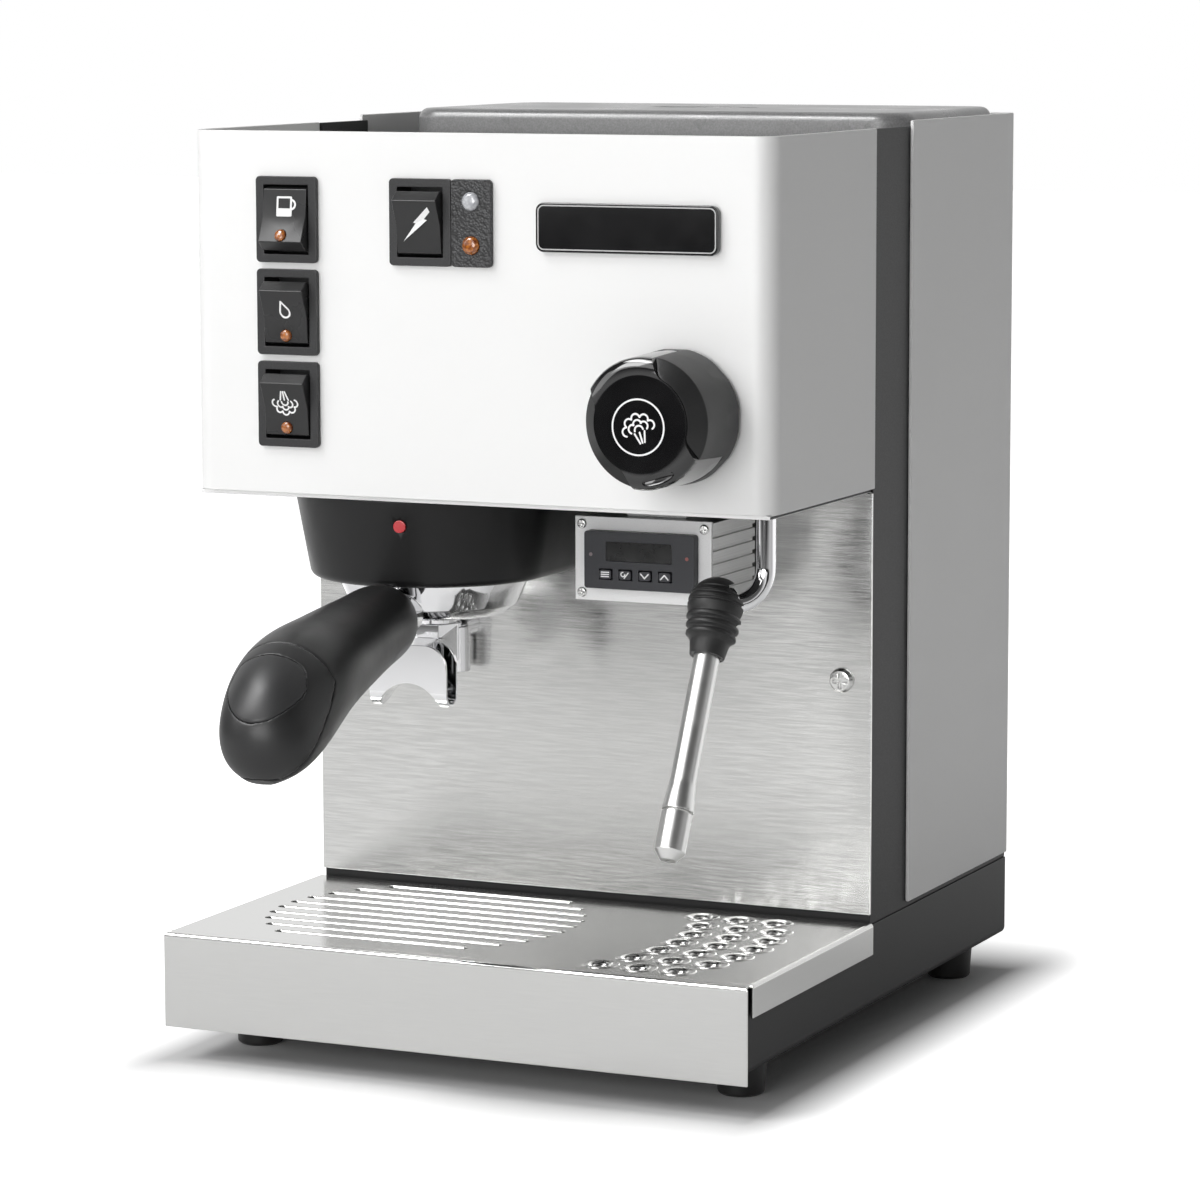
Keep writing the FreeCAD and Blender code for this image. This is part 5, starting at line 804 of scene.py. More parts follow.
    def cut(self, made: Mesh, tool: Mesh, way: Cut) -> Mesh:
        """Cut a mesh by another.

        Args:
            made: The mesh, which is used up.
            tool: The other mesh, which is used up.
            way: What is kept.

        Returns:
            The cut mesh.
        """
        cutter = stand(tool, "cutter")

        def carve(holder: Object) -> None:
            """Cut by the tool."""
            step = holder.modifiers.new("cut", "BOOLEAN")
            step.operation = way.value
            step.solver = "EXACT"
            step.object = cutter

        done = self.shaped(made, carve)
        drop(cutter)
        return done

    def surface(self, node: str) -> BVHTree:
        """Return a search tree of a node's surface."""
        mesh = self.solid(node)
        return BVHTree.FromPolygons([vertex.co for vertex in mesh.vertices],
                                    [tuple(face.vertices) for face in mesh.polygons])

    def middle(self, node: str) -> Vector:
        """Return the middle of a node's box."""
        low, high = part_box(node)
        return (low + high) / 2


def arc(centre: Point2, radius: float, start: float, end: float, steps: int = 14) -> list[Point2]:
    """Return points along an arc of some chords, with angles in degrees from the right and upwards."""
    turns = [math.radians(start + (end - start) * index / steps) for index in range(steps + 1)]
    return [(centre[0] + radius * math.cos(turn), centre[1] + radius * math.sin(turn)) for turn in turns]


def quarter(steps: int) -> list[float]:
    """Return the angles, in radians, that part a quarter turn into equal steps."""
    return [math.radians(90.0 * step / steps) for step in range(steps + 1)]


def span(made: Mesh, first: list[bmesh.types.BMVert], second: list[bmesh.types.BMVert]) -> None:
    """Close the space between two rings of points.

    Args:
        made: The mesh that holds them.
        first: The one ring.
        second: The other ring, in the same order.
    """
    made.faces.new(first)
    made.faces.new(list(reversed(second)))
    for index in range(len(first)):
        after = (index + 1) % len(first)
        made.faces.new((first[index], second[index], second[after], first[after]))


@dataclass
class Mark:
    """A flat printed mark in millimetres: strokes of one width, and filled outlines."""

    width: float
    strokes: list[list[Point2]] = field(default_factory=list)
    fills: list[list[Point2]] = field(default_factory=list)
    FILM: ClassVar[float] = 0.05
    LEVEL: ClassVar[float] = 0.0004
    LEVELS: ClassVar[int] = 9
    END: ClassVar[tuple[float, float, int]] = (0.0, 330.0, 11)

    def turned(self, angle: float, scale: float = 1.0) -> "Mark":
        """Return the mark turned by an angle in degrees and scaled.

        Args:
            angle: Turn, anticlockwise as seen from the front.
            scale: Scale of its points.

        Returns:
            The new mark.
        """
        turn = Matrix.Rotation(math.radians(angle), 2) * scale
        moved = [[[tuple(turn @ Vector(point)) for point in line] for line in lines]
                 for lines in (self.strokes, self.fills)]
        return Mark(self.width, *moved)

    def outlines(self) -> list[list[Point2]]:
        """Return every filled outline, with each stroke cut into quads and round ends."""
        found = [list(line) for line in self.fills]
        half = self.width / 2
        for line in self.strokes:
            for start, end in zip(map(Vector, line), map(Vector, line[1:])):
                along = end - start
                side = Vector((-along.y, along.x)).normalized() * half
                found.append([tuple(start + side), tuple(start - side), tuple(end - side), tuple(end + side)])
            found += [arc(point, half, *self.END) for point in line]
        return found

    def print_on(self, bench: Bench, node: str, name: str, finish: Finish, middle: Vector) -> Object:
        """Lay the mark as a thin film on the front of a node.

        Args:
            bench: The frame.
            node: Node that carries the mark.
            name: Name of the piece.
            finish: Its ink.
            middle: Place of the mark's middle; only X and Z count.

        Returns:
            The piece.
        """
        tree = bench.surface(node)
        made = bmesh.new()
        for number, outline in enumerate(self.outlines()):
            rise = (self.FILM + self.LEVEL * (number % self.LEVELS)) * MM
            top, foot = [], []
            for x, z in outline:
                over = middle + Vector((x * MM, 0.0, z * MM))
                hit, normal, _, _ = tree.ray_cast(over + FRONT, -FRONT)
                if hit is None:
                    hit, normal = over, FRONT
                if normal.dot(FRONT) < 0.0:
                    normal = -normal
                top.append(made.verts.new(hit + normal * rise))
                foot.append(made.verts.new(hit - normal * self.FILM * MM))
            span(made, top, foot)
        bmesh.ops.recalc_face_normals(made, faces=made.faces)
        return bench.place(made, name, finish, bench.body_of[node])


def mug_mark() -> Mark:
    """Return a half-full mug with a handle."""
    wide, tall, level = 2.8, 3.3, -0.7
    body = [(-wide, -tall), (-wide, tall), (wide, tall), (wide, -tall), (-wide, -tall)]
    full = [(-wide, -tall), (wide, -tall), (wide, level), (-wide, level)]
    return Mark(0.75, [body, arc((wide, 0.7), 1.7, -90.0, 90.0)], [full])


def drop_mark() -> Mark:
    """Return the outline of a drop that leans to the left."""
    tip = (0.0, 2.9)
    return Mark(0.7, [[tip, *arc((0.0, -1.2), 1.95, -210.0, 30.0, steps=22), tip]]).turned(14.0)


def bolt_mark() -> Mark:
    """Return a filled lightning bolt."""
    bolt = [(4.6, 5.6), (5.2, 4.0), (2.6, 1.6), (3.7, 1.3), (-5.4, -5.7), (-0.6, 0.2), (-1.5, 0.4)]
    upper = [bolt[0], bolt[6], bolt[5], bolt[2], bolt[1]]
    lower = [bolt[5], bolt[4], bolt[3], bolt[2]]
    return Mark(0.2, [], [upper, lower]).turned(0.0, 1.12)


def steam_mark(width: float = 0.62) -> Mark:
    """Return a cloud of steam that billows down from a nozzle.

    Args:
        width: Width of its lines.

    Returns:
        The mark.
    """
    nozzle, half_turn = 1.3, 88.0
    strokes = [[(x, 4.7), (x * 2.2, 1.6)] for x in (-0.75, 0.0, 0.75)]
    for count, reach, radius, fan in ((1, 0.4, 1.35, 0.0), (3, 2.2, 1.3, 56.0), (5, 4.0, 1.35, 38.0)):
        for index in range(count):
            aim = -90.0 + (index - (count - 1) / 2) * fan
            centre = (reach * math.cos(math.radians(aim)), nozzle + reach * math.sin(math.radians(aim)))
            strokes.append(arc(centre, radius, aim - half_turn, aim + half_turn, steps=10))
    return Mark(width, strokes)


def frame_mark(wide: float, tall: float, corner: float, width: float) -> Mark:
    """Return a rectangle with rounded corners.

    Args:
        wide: Its width.
        tall: Its height.
        corner: Radius of its corners.
        width: Width of its line.

    Returns:
        The mark.
    """
    line: list[Point2] = []
    for index, (right, up) in enumerate(((1, 1), (-1, 1), (-1, -1), (1, -1))):
        centre = (right * (wide / 2 - corner), up * (tall / 2 - corner))
        line += arc(centre, corner, 90.0 * index, 90.0 * (index + 1), steps=6)
    return Mark(width, [line + line[:1]])


def lathe(profile: Sequence[Point2], base: Vector, axis: Vector, steps: int) -> Mesh:
    """Turn a profile about an axis.

    Args:
        profile: Points of radius and height in millimetres, from axis to axis or round a closed ring.
        base: Place of height zero.
        axis: Direction of the height.
        steps: Faces round the turning.

    Returns:
        The turned mesh.
    """
    made = bmesh.new()
    points = [made.verts.new((radius * MM, 0.0, height * MM)) for radius, height in profile]
    edges = [made.edges.new(pair) for pair in zip(points, points[1:])]
    bmesh.ops.spin(made, geom=points + edges, cent=(0, 0, 0), axis=UP, angle=2 * math.pi, steps=steps,
                   use_merge=True, use_duplicate=False)
    bmesh.ops.remove_doubles(made, verts=made.verts, dist=WELD)
    bmesh.ops.recalc_face_normals(made, faces=made.faces)
    turn = UP.rotation_difference(axis).to_matrix().to_4x4()
    bmesh.ops.transform(made, matrix=Matrix.Translation(base) @ turn, verts=made.verts)
    return made


@dataclass
class SubAssembly:
    """Pieces of the machine that belong together.

    A row of EDGES holds a node, its finish, the width of its softened edges in millimetres and, where
    it isn't two, the number of faces across an edge.
    """

    bench: Bench
    EDGES: ClassVar[Rows] = ()

    def build(self) -> None:
        """Make the pieces that the frame lacks."""

    def dress(self) -> None:
        """Give the frame's own nodes their finish and softened edges."""
        for node, finish, *edge in self.EDGES:
            self.bench.soften(node, finish, *edge)


@dataclass
class Casing(SubAssembly):
    """Painted body, base, splash panel, feet and the pieces on top."""

    shelf_edge: float = 2.2
    facing_down: float = -0.9
    EDGES: ClassVar[Rows] = (
        ("hood", WHITE_COAT, 0.5),
        ("rear_panel", WHITE_COAT, 0.5),
        ("base_pan", BLACK_COAT, 0.5),
        ("feet", RUBBER, 0.4),
        ("cable_gland", BLACK_MOULDING, 0.3),
        ("splash_panel", BRUSHED_STEEL, 0.2),
        ("panel_screws", SCREW_STEEL, 0.12),
        ("cup_tray", TRAY_STEEL, 0.2),
        ("water_tank", TANK_PLASTIC, 0.3),
        ("tank_lid", LID_MOULDING, 0.4),
    )

    def dress(self) -> None:
        """Paint the panels, brush the steel and paint the shelf's edge."""
        super().dress()
        self.paint_shelf_edge(self.bench.soften("chassis", BLACK_COAT, width=0.3))

    def paint_shelf_edge(self, chassis: Object) -> None:
        """Paint the edge of the shelf under the hood in the hood's colour.

        Args:
            chassis: Piece of the chassis.
        """
        chassis.data.materials.append(WHITE_COAT.material())
        low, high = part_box("hood")
        band = self.shelf_edge * MM
        for face in chassis.data.polygons:
            centre = face.center
            beside = min(centre.x - low.x, high.x - centre.x, centre.y - low.y) < band
            under = -band < centre.z - low.z < 0.0 and face.normal.z > self.facing_down
            if beside and under and centre.y < high.y:
                face.material_index = 1


@dataclass
class DripArea(SubAssembly):
    """Drip tray and its folded cover."""

    bead: Point2 = (0.6, 0.32)
    flare_depth: float = 2.0
    flare_root: float = 0.4
    flare_back: float = 1.0
    lip_radius: float = 1.0
    lip_lap: float = 0.1
    proud: float = 0.015
    smooth_angle: float = 50.0
    facing_front: float = 0.999
    slot_depth: float = 2.0
    slot_row: float = 0.1
    cone_rise: Point2 = (0.9, 0.99)
    rim_band: float = 0.02
    rim_gap: float = 1.9
    rim_least: float = 2.0
    out_of_round: float = 0.5
    EDGES: ClassVar[Rows] = (("drip_tray", TRAY_STEEL, 0.3), ("drip_cover", COVER_STEEL, 0.3))

    def build(self) -> None:
        """Flare each dimple of the cover and roll the rear edge of each slot."""
        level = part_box("drip_cover")[1].z
        flares = [lathe(self.flare(radius / MM, hole / MM), centre, UP, steps=40)
                  for centre, radius, hole in self.dimples(level)]
        lips = [self.rolled_edge(Vector((left, y, level)), right - left)
                for y, left, right in self.slots(level)]
        for name, parts in (("dimple_flares", flares), ("slot_lips", lips)):
            self.bench.place(self.joined(parts), name, RIM_STEEL, self.bench.body_of["drip_cover"],
                             angle=self.smooth_angle)

    @staticmethod
    def joined(parts: Iterable[Mesh]) -> Mesh:
        """Join several meshes into one.

        Args:
            parts: The meshes, which are used up.

        Returns:
            The one mesh.
        """
        whole = bmesh.new()
        for part in parts:
            mesh = bpy.data.meshes.new("part")
            part.to_mesh(mesh)
            part.free()
            whole.from_mesh(mesh)
            bpy.data.meshes.remove(mesh)
        return whole

    def flare(self, radius: float, hole: float) -> list[Point2]:
        """Lay out the section of a dimple that curves smoothly down into its hole.

        Args:
            radius: Radius of its rim in millimetres.
            hole: Radius of its hole.

        Returns:
            Closed profile of radius and height.
        """
        wide, tall = self.bead
        bead = [(radius + wide * math.cos(turn), tall * math.sin(turn)) for turn in quarter(5)[:-1]]
        curve = [(hole + (radius - hole) * (1.0 - math.sin(turn)),
                  tall - (tall + self.flare_depth) * (1.0 - math.cos(turn))) for turn in quarter(10)]
        root = hole + self.flare_root
        back = [(root, -self.flare_depth), (root, -self.flare_back), (radius, -self.flare_root),
                (radius + wide, -self.flare_root)]
        return bead + curve + back + bead[:1]

    def rolled_edge(self, start: Vector, length: float) -> Mesh:
        """Return a quarter-round lip along the rear edge of a slot.

        Args:
            start: Left end of the edge, on the cover's top.
            length: Length of the edge in metres.

        Returns:
            The lip.
        """
        section = [(self.lip_lap - self.lip_radius * math.sin(turn),
                    self.proud - self.lip_radius * (1.0 - math.cos(turn))) for turn in quarter(6)]
        section.append((self.lip_lap, -self.lip_radius))
        made = bmesh.new()
        span(made, *([made.verts.new(start + Vector((x, y * MM, z * MM))) for y, z in section]
                     for x in (0.0, length)))
        bmesh.ops.recalc_face_normals(made, faces=made.faces)
        return made

    def slots(self, level: float) -> list[tuple[float, float, float]]:
        """Find the rear wall of each slot of the cover.

        Args:
            level: Height of the cover's top.

        Returns:
            Place to the rear, left end and right end of each, in metres.
        """
        mesh = self.bench.solid("drip_cover")
        walls: dict[int, list[Vector]] = {}
        for face in mesh.polygons:
            corners = [mesh.vertices[index].co for index in face.vertices]
            high = min(point.z for point in corners) > level - self.slot_depth * MM
            if high and face.normal.dot(FRONT) > self.facing_front:
                walls.setdefault(round(face.center.y / (self.slot_row * MM)), []).extend(corners)
        return [(points[0].y, min(point.x for point in points), max(point.x for point in points))
                for _, points in sorted(walls.items())]

    def dimples(self, level: float) -> list[tuple[Vector, float, float]]:
        """Find the dimples of the cover.

        Args:
            level: Height of the cover's top.

        Returns:
            Middle, radius of the rim and radius of the hole of each, in metres.
        """
        mesh = self.bench.solid("drip_cover")
        steepest, flattest = self.cone_rise
        cones = [face for face in mesh.polygons if steepest < face.normal.z < flattest]
        corners = [mesh.vertices[index].co for face in cones for index in face.vertices]
        groups: list[list[Vector]] = []
        for point in corners:
            if abs(point.z - level) >= self.rim_band * MM:
                continue
            close = [group for group in groups
                     if any((point - other).length < self.rim_gap * MM for other in group)]
            groups = [group for group in groups if not any(group is item for item in close)]
            groups.append([point] + [other for group in close for other in group])
        found = []
        for group in groups:
            low = Vector([min(point[axis] for point in group) for axis in range(3)])
            high = Vector([max(point[axis] for point in group) for axis in range(3)])
            wide, long, _ = high - low
            if abs(wide - long) < self.out_of_round * MM and wide / 2 > self.rim_least * MM:
                centre = (low + high) / 2
                hole = min((vertex.co.xy - centre.xy).length for vertex in mesh.vertices)
                found.append((centre, wide / 2, hole))
        return found


@dataclass
class BrewGroup(SubAssembly):
    """Cover, head and inner rings of the brew group."""

    EDGES: ClassVar[Rows] = (
        ("group_cover", GROUP_MOULDING, 0.5),
        ("group_marker", RED_GLOSS, 0.3),
        ("group_head", CHROME, 0.3),
        ("group_gasket", RUBBER, 0.3),
        ("shower_screen", BASKET_STEEL, 0.1),
        ("drain_spout", CHROME, 0.3),
    )


@dataclass
class Portafilter(SubAssembly):
    """Bowl, basket, spout and handle."""

    skin: float = 0.55
    EDGES: ClassVar[Rows] = (
        ("portafilter_body", CHROME, 0.35),
        ("filter_basket", BASKET_STEEL, 0.1),
        ("double_spout", CHROME, 0.28),
    )

    def dress(self) -> None:
        """Plate the metal and mould the handle."""
        super().dress()
        for node, finish in (("handle", GRIP_MOULDING), ("handle_cap", GRIP_MOULDING),
                             ("handle_plate", PLATE_MOULDING)):
            self.bench.remould(node, finish, self.skin)


@dataclass
class SteamWand(SubAssembly):
    """Steam pipe, ball joint, boot and wand."""

    EDGES: ClassVar[Rows] = (
        ("steam_pipe", CHROME, 0.2),
        ("ball_seat", SEAT_MOULDING, 0.1),
        ("wand_tube", POLISHED_STEEL, 0.2),
        ("wand_nozzle", POLISHED_STEEL, 0.2),
        ("wand_boot", RUBBER, 0.25),
        ("steam_valve", BRASS, 0.4),
    )


@dataclass
class SteamKnob(SubAssembly):
    """Steam knob with its glossy cap and its printed mark."""

    ring_radius: float = 9.8
    ring_width: float = 0.62
    mark_width: float = 0.66
    mark_turn: float = 198.0
    mark_scale: float = 1.2
    mark_shift: Point2 = (-0.6, -1.0)
    smooth_angle: float = 40.0
    crown_width: float = 7.0
    crown_depth: float = 4.4
    crown_spare: float = 4.0
    recess_place: tuple[float, float, float] = (6.6, 0.88, -18.8)
    recess_half: tuple[float, float, float] = (6.4, 1.3, 2.4)
    recess_turn: float = 20.0
    EDGES: ClassVar[Rows] = (("knob_body", KNOB_MOULDING, 0.4), ("knob_stem", POLISHED_STEEL, 0.2))

    def build(self) -> None:
        """Print the ring and the steam cloud on the cap."""
        right, up = self.mark_shift
        middle = self.bench.middle("knob_body") + Vector((right * MM, 0.0, up * MM))
        ring = Mark(self.ring_width, [arc((0.0, 0.0), self.ring_radius, 0.0, 360.0, steps=64)])
        cloud = steam_mark(self.mark_width).turned(self.mark_turn, self.mark_scale)
        for mark, name in ((ring, "knob_ring"), (cloud, "knob_steam_mark")):
            mark.print_on(self.bench, "knob_cap", name, WHITE_INK, middle)

    def dress(self) -> None:
        """Polish the cap and leave the body matt."""
        super().dress()
        cap = self.bench.cut(self.bench.mesh_of("knob_cap"), self.crown(), Cut.INSIDE)
        cap = self.bench.cut(cap, self.recess(), Cut.OUTSIDE)
        self.bench.replace("knob_cap", cap, GLOSS_BLACK, self.smooth_angle)

    def face(self) -> Vector:
        """Return the middle of the cap's front."""
        middle = self.bench.middle("knob_body")
        return Vector((middle.x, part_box("knob_cap")[0].y, middle.z))

    def crown(self) -> Mesh:
        """Return a turned blank whose front edge is rounded, for the cap's outline."""
        low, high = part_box("knob_body")
        radius = (high.x - low.x) / 2 / MM
        depth = (high.y - low.y) / MM + self.crown_spare
        flat = radius - self.crown_width
        curve = [(flat + self.crown_width * math.cos(turn), self.crown_depth * (math.sin(turn) - 1.0))
                 for turn in quarter(12)[:-1]]
        profile = [(0.0, -depth), (radius, -depth), *curve, (flat, 0.0), (0.0, 0.0)]
        return lathe(profile, self.face(), FRONT, steps=128)

    def recess(self) -> Mesh:
        """Return a flat pebble that cuts the finger recess in the lower wing."""
        made = bmesh.new()
        bmesh.ops.create_uvsphere(made, u_segments=48, v_segments=24, radius=MM)
        place = Matrix.Translation(self.face() + Vector(self.recess_place) * MM)
        turn = Matrix.Rotation(math.radians(-self.recess_turn), 4, "Y")
        size = Matrix.Diagonal((*self.recess_half, 1.0))
        bmesh.ops.transform(made, matrix=place @ turn @ size, verts=made.verts)
        return made


@dataclass
class Switches(SubAssembly):
    """Rocker switches, their lenses and printed marks."""

    lens_radius: float = 2.2
    lens_dome: float = 1.0
    lens_root: float = 1.2
    lens_facing: float = 0.7
    smooth_angle: float = 50.0
    EDGES: ClassVar[Rows] = (
        ("switch_housings", BEZEL_MOULDING, 0.35),
        *((name + "_rocker", ROCKER_MOULDING, 0.3, 3) for name in ("brew", "water", "steam", "power")),
    )

    def build(self) -> None:
        """Print each rocker's mark and set its domed lens."""
        for name, mark, rise in (("brew", mug_mark(), 4.4), ("water", drop_mark(), 1.7),
                                 ("steam", steam_mark(), 0.7), ("power", bolt_mark(), 0.0)):
            node = name + "_rocker"
            middle = self.bench.middle(node) + UP * rise * MM
            mark.print_on(self.bench, node, name + "_mark", WHITE_INK, middle)
        for name in ("brew", "water", "steam"):
            self.domed_lens(name + "_lens")

    def domed_lens(self, node: str) -> None:
        """Replace a flat lens by a domed one.

        Args:
            node: The lens.
        """
        faces = self.bench.solid(node).polygons
        facing = [face for face in faces if face.normal.dot(FRONT) > self.lens_facing]
        area = sum(face.area for face in facing)
        normal = sum((face.normal * face.area for face in facing), Vector()).normalized()
        centre = sum((face.center * face.area for face in facing), Vector()) / area
        radius = self.lens_radius
        dome = [(radius * math.cos(turn), self.lens_dome * math.sin(turn)) for turn in quarter(6)[:-1]]
        profile = [(0.0, -self.lens_root), (radius, -self.lens_root), *dome, (0.0, self.lens_dome)]
        self.bench.replace(node, lathe(profile, centre, normal, steps=40), AMBER_LENS, self.smooth_angle)


@dataclass
class Indicators(SubAssembly):
    """Grained plate with two lamp lenses, and the bare badge."""

    rim_inset: float = 1.0
    rim_width: float = 0.45
    rim_corner: float = 2.2
    EDGES: ClassVar[Rows] = (("indicator_plate", PLATE_GRAIN, 0.3), ("badge_plate", GLOSS_BLACK, 0.4, 3))

    def build(self) -> None:
        """Print the badge's thin rim."""
        low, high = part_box("badge_plate")
        size = (high - low) / MM
        wide, tall = size.x - 2 * self.rim_inset, size.z - 2 * self.rim_inset
        rim = frame_mark(wide, tall, self.rim_corner, self.rim_width)
        rim.print_on(self.bench, "badge_plate", "badge_rim", EDGE_INK, (low + high) / 2)

    def dress(self) -> None:
        """Grain the plate and clear the upper lens of the two."""
        super().dress()
        piece = self.bench.soften("indicator_lenses", AMBER_LENS, width=0.4)
        piece.data.materials.append(CLEAR_LENS.material())
        level = self.bench.middle("indicator_lenses").z
        for face in piece.data.polygons:
            face.material_index = 1 if face.center.z > level else 0


@dataclass
class Controller(SubAssembly):
    """Temperature controller under the hood."""

    lamp_radius: float = 0.7
    lamp_x: float = 19.4
    lamp_rise: float = 2.0
    chevron: Point2 = (1.5, 0.8)
    thin: float = 0.45
    thick: float = 0.55
    EDGES: ClassVar[Rows] = (
        ("controller_box", BOX_ALUMINIUM, 0.2),
        ("controller_face", ALUMINIUM, 0.25),
        ("controller_display", SLATE_MOULDING, 0.35),
        ("controller_window", DISPLAY_GLASS, 0.1),
        *((name + "_key", KEY_MOULDING, 0.25) for name in ("set", "mode", "down", "up")),
    )

    def build(self) -> None:
        """Print the key marks and both lamps."""
        middle = self.bench.middle("controller_display")
        lamp = Mark(self.thin, [], [arc((0.0, 0.0), self.lamp_radius, 0.0, 345.0, steps=23)])
        for name, x, ink in (("lamp_left", -self.lamp_x, DIM_INK), ("lamp_right", self.lamp_x, RED_INK)):
            place = middle + Vector((x * MM, 0.0, self.lamp_rise * MM))
            lamp.print_on(self.bench, "controller_display", name, ink, place)
        reach, rise = self.chevron
        marks = {
            "set_key": Mark(self.thin, [[(-reach, z), (reach, z)] for z in (-rise, 0.0, rise)]),
            "mode_key": Mark(self.thin, [arc((-0.7, 0.3), 0.8, 90.0, 360.0), [(-0.2, -1.1), (1.4, 0.9)]]),
            "down_key": Mark(self.thick, [[(-reach, rise), (0.0, -rise), (reach, rise)]]),
            "up_key": Mark(self.thick, [[(-reach, -rise), (0.0, rise), (reach, -rise)]]),
        }
        for node, mark in marks.items():
            mark.print_on(self.bench, node, node + "_mark", WHITE_INK, self.bench.middle(node))


@dataclass
class InnerWorks(SubAssembly):
    """Boiler, pump, valves and hoses inside the casing."""

    EDGES: ClassVar[Rows] = (
        ("boiler", BRASS, 0.5),
        ("heating_element", SCREW_STEEL, 0.3),
        ("thermostats", COIL_MOULDING, 0.3),
        ("pump", COIL_MOULDING, 0.4),
        ("pump_bracket", SCREW_STEEL, 0.3),
        ("solenoid_valve", BRASS, 0.3),
        ("feed_hoses", SILICONE, 0.2),
    )


@dataclass
class Softbox:
    """A rectangular studio lamp that looks at a point, and may show in reflections only."""

    name: str
    place: tuple[float, float, float]
    target: tuple[float, float, float]
    size: Point2
    power: float
    mirrored_only: bool = False

    def build(self) -> None:
        """Hang the lamp."""
        lamp = bpy.data.lights.new(self.name, "AREA")
        lamp.shape = "RECTANGLE"
        lamp.size, lamp.size_y = self.size
        lamp.energy = self.power
        hung = bpy.data.objects.new(self.name, lamp)
        hung.location = self.place
        hung.visible_diffuse = not self.mirrored_only
        aim = Vector(self.target) - Vector(self.place)
        hung.rotation_euler = aim.to_track_quat("-Z", "Y").to_euler()
        bpy.context.scene.collection.objects.link(hung)


@dataclass
class Studio:
    """White floor, soft lamps and a plain surround, in metres."""

    floor_size: float = 14.0
    floor_tone: float = 0.9
    floor_drift: float = 0.995
    floor_grain: float = 400.0
    reach: Point2 = (0.03, 0.06)
    floor_glow: float = 0.28
    glow_behind: Point2 = (0.0, 0.6)
    paper_edge: Point2 = (-1.5, -0.7)
    paper_end: float = 0.03
    ambient: float = 0.14
    horizon: float = 1.0
    overhead: float = 0.1
    white_behind: Point2 = (0.0, 0.5)
    dim_above: Point2 = (0.1, 0.4)
    card_reach: float = 2.5
    card_height: float = 0.48
    card_far: float = 1.25
    card_tones: Point2 = (0.08, 0.11)
    card_weave: float = 300.0
    left_near: float = -1.5
    right_near: float = -2.75
    middle: tuple[float, float, float] = (0.0, 0.0, 0.2)

    def build(self) -> None:
        """Lay the floor, hang the lamps and light the surround."""
        self.floor()
        self.surround()
        for lamp in (
            Softbox("key_softbox", (0.0, -2.05, 0.45), self.middle, (1.1, 0.8), 15.0),
            Softbox("high_softbox", (-0.5, -1.45, 1.3), self.middle, (1.9, 0.6), 8.5),
            Softbox("left_softbox", (-1.5, -1.2, 0.9), self.middle, (0.8, 0.8), 4.5),
            Softbox("top_softbox", (-0.75, -0.75, 1.7), self.middle, (1.0, 0.3), 11.0),
            Softbox("rim_softbox", (-0.9, -1.15, 1.85), self.middle, (0.9, 1.4), 30.0, mirrored_only=True),
        ):
            lamp.build()
        self.card("left_card", -self.card_reach, self.left_near)
        self.card("right_card", self.card_reach, self.right_near)

    @staticmethod
    def sheet(name: str, corners: Iterable[Sequence[float]], graph: Graph) -> Object:
        """Stand a flat sheet in the studio.

        Args:
            name: Name of the sheet.
            corners: Its corners in order.
            graph: Its material.

        Returns:
            The sheet.
        """
        made = bmesh.new()
        made.faces.new([made.verts.new(corner) for corner in corners])
        sheet = stand(made, name)
        sheet.data.materials.append(graph.material)
        sheet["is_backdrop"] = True
        return sheet

    def card(self, name: str, x: float, near: float) -> None:
        """Stand a dark card at one side, which only reflections see.

        Args:
            name: Name of the card.
            x: Its place from side to side.
            near: Place of its front edge.
        """
        dark, light = self.card_tones
        graph = Graph(name)
        graph.set(
            roughness=0.95,
            specular_ior_level=0.05,
            base_color=graph.tint(graph.noise(self.card_weave), (dark,) * 3, (light,) * 3),
        )
        far, top = self.card_far, self.card_height
        card = self.sheet(name, [(x, near, 0.0), (x, far, 0.0), (x, far, top), (x, near, top)], graph)
        card.visible_camera = card.visible_diffuse = card.visible_shadow = card.visible_transmission = False

    def floor(self) -> None:
        """Lay a floor that fades to white away from the machine and keeps its shadow."""
        graph = Graph("floor_paper")
        place = graph.axes()
        base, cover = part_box("base_pan"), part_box("drip_cover")
        squares = []
        for axis, low, high, reach in (("X", cover[0].x, cover[1].x, self.reach[0]),
                                       ("Y", cover[0].y, base[1].y, self.reach[1])):
            offset = graph.maths("ABSOLUTE", graph.maths("SUBTRACT", place[axis], (low + high) / 2))
            outside = graph.maths("MAXIMUM", graph.maths("SUBTRACT", offset, (high - low) / 2), 0.0)
            squares.append(graph.maths("POWER", graph.maths("DIVIDE", outside, reach), 2.0))
        away = graph.maths("POWER", graph.maths("ADD", *squares), 0.5)
        fade = graph.between(away, 0.0, 1.0, 0.0, 1.0)
        camera, mirrored = graph.rays()
        behind = graph.between(place["Y"], 0.0, 1.0, *self.glow_behind)
        before = graph.between(place["Y"], 0.0, self.floor_glow, *self.paper_edge)
        glow = graph.maths("MULTIPLY", mirrored, graph.maths("MAXIMUM", behind, before))
        end = graph.maths("MULTIPLY", mirrored, graph.between(place["Y"], 1.0, 0.0, *self.paper_edge))
        tone = (self.floor_tone,) * 3
        paper = graph.tint(graph.noise(self.floor_grain), shade(tone, self.floor_drift), tone)
        graph.set(
            roughness=0.9,
            specular_ior_level=0.1,
            base_color=graph.mix(end, paper, (*(self.paper_end,) * 3, 1.0), "RGBA"),
            emission_color=WHITE,
            emission_strength=graph.maths("MULTIPLY", graph.maths("MAXIMUM", camera, glow), fade),
        )
        half = self.floor_size / 2
        corners = ((-half, -half), (half, -half), (half, half), (-half, half))
        self.sheet("floor", [(x, y, 0.0) for x, y in corners], graph)

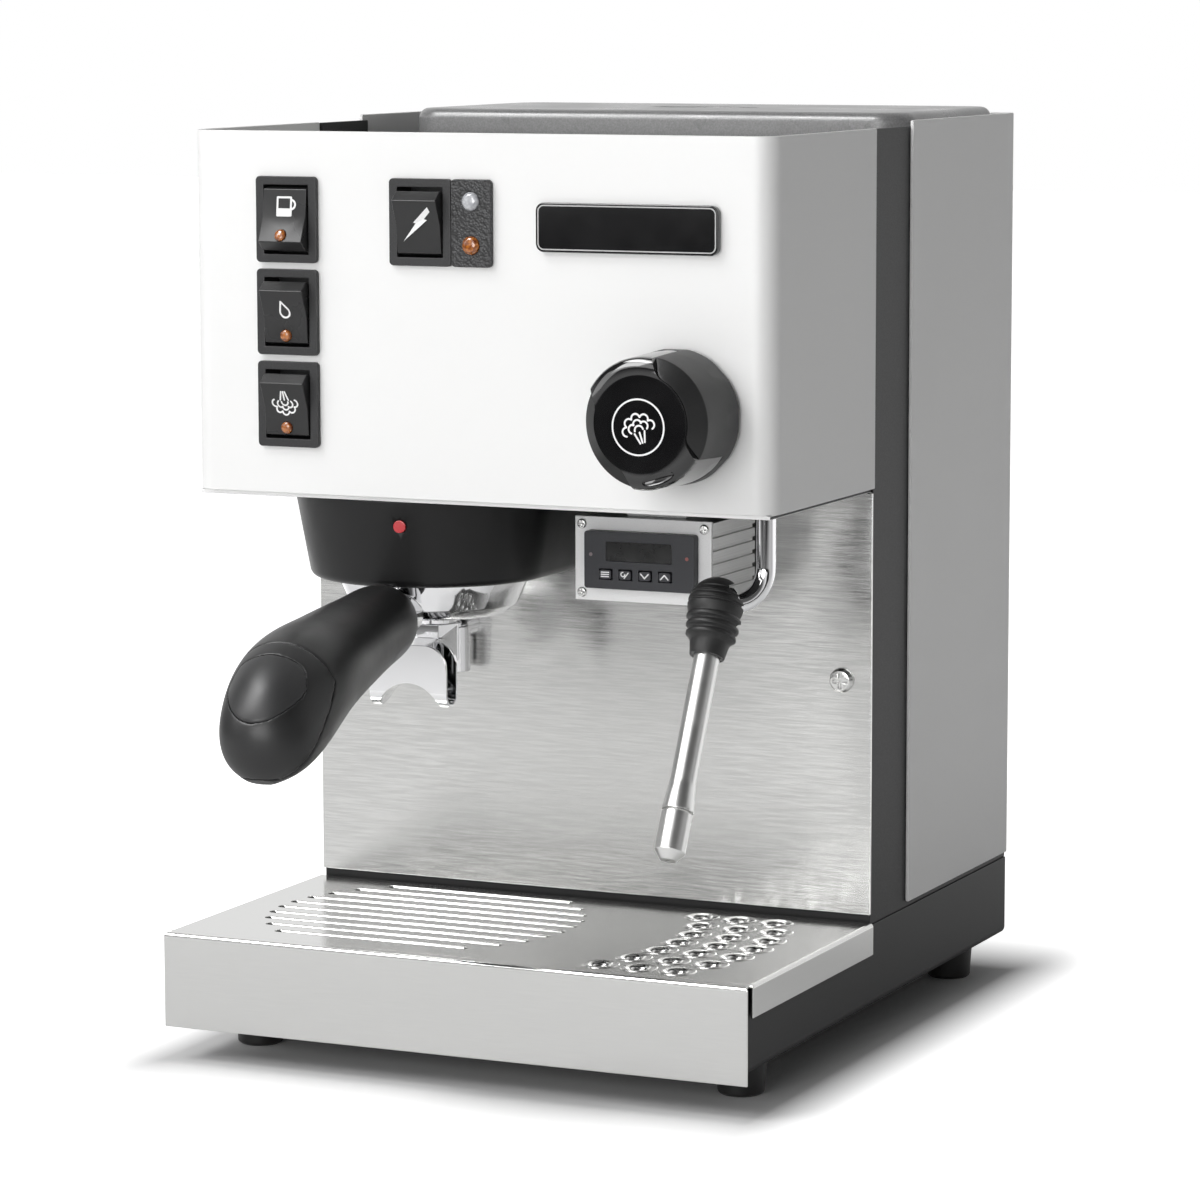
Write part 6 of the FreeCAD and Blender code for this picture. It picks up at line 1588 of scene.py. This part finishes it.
    def surround(self) -> None:
        """Make the surround white to the camera, and in reflections white behind and dim high in front."""
        world = bpy.data.worlds.new("studio")
        bpy.context.scene.world = world
        world.use_nodes = True
        nodes = Nodes(world.node_tree, "Generated")
        place = nodes.axes()
        behind = nodes.between(place["Y"], 0.0, 1.0, *self.white_behind)
        height = nodes.between(place["Z"], self.horizon, self.overhead, *self.dim_above)
        camera, mirrored = nodes.rays()
        light = nodes.mix(mirrored, self.ambient, nodes.maths("MAXIMUM", behind, height))
        backdrop = nodes.node("ShaderNodeBackground",
                              {"Color": (*WHITE, 1.0), "Strength": nodes.mix(camera, light, 1.0)})
        nodes.node("ShaderNodeOutputWorld", {"Surface": backdrop.outputs["Background"]})


@dataclass
class Viewpoint:
    """Camera at the photograph's view of the machine."""

    distance: float = 1.7594
    yaw: float = 24.60
    pitch: float = 7.59
    roll: float = -0.13
    lens: float = 136.71
    sensor: float = 36.0
    nearest: float = 0.05
    behind_hood: float = 107.4
    height: float = 165.36
    shift: Point2 = (0.001525, -0.00323)

    def build(self) -> None:
        """Stand the camera and make it the scene's."""
        low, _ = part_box("hood")
        target = Vector((0.0, low.y + self.behind_hood * MM, self.height * MM))
        yaw, pitch = math.radians(self.yaw), math.radians(self.pitch)
        away = Vector((math.sin(yaw) * math.cos(pitch), -math.cos(yaw) * math.cos(pitch), math.sin(pitch)))
        camera = bpy.data.cameras.new("camera")
        camera.lens = self.lens
        camera.sensor_width = self.sensor
        camera.sensor_fit = "HORIZONTAL"
        camera.shift_x, camera.shift_y = self.shift
        camera.clip_start = self.nearest
        tripod = bpy.data.objects.new("camera", camera)
        aim = (-away).to_track_quat("-Z", "Y").to_matrix().to_4x4()
        turn = Matrix.Rotation(math.radians(self.roll), 4, "Z")
        tripod.matrix_world = Matrix.Translation(target + away * self.distance) @ aim @ turn
        bpy.context.scene.collection.objects.link(tripod)
        bpy.context.scene.camera = tripod


def main() -> None:
    """Build every sub-assembly, the studio and the camera, in order."""
    logging.basicConfig(level=logging.INFO, format="%(message)s")
    bpy.context.scene.view_settings.view_transform = "Standard"
    for leftover in [item for item in bpy.data.objects if item.name in ("Cube", "Light", "Camera")]:
        bpy.data.objects.remove(leftover)
    bench = Bench()
    parts: list[Callable[[Bench], SubAssembly]] = [
        Casing, DripArea, BrewGroup, Portafilter, SteamWand, SteamKnob, Switches, Indicators, Controller,
        InnerWorks,
    ]
    for make in parts:
        part = make(bench)
        part.build()
        part.dress()
        LOG.info("%s is done", type(part).__name__)
    Studio().build()
    Viewpoint().build()


if __name__ == "__main__":
    main()
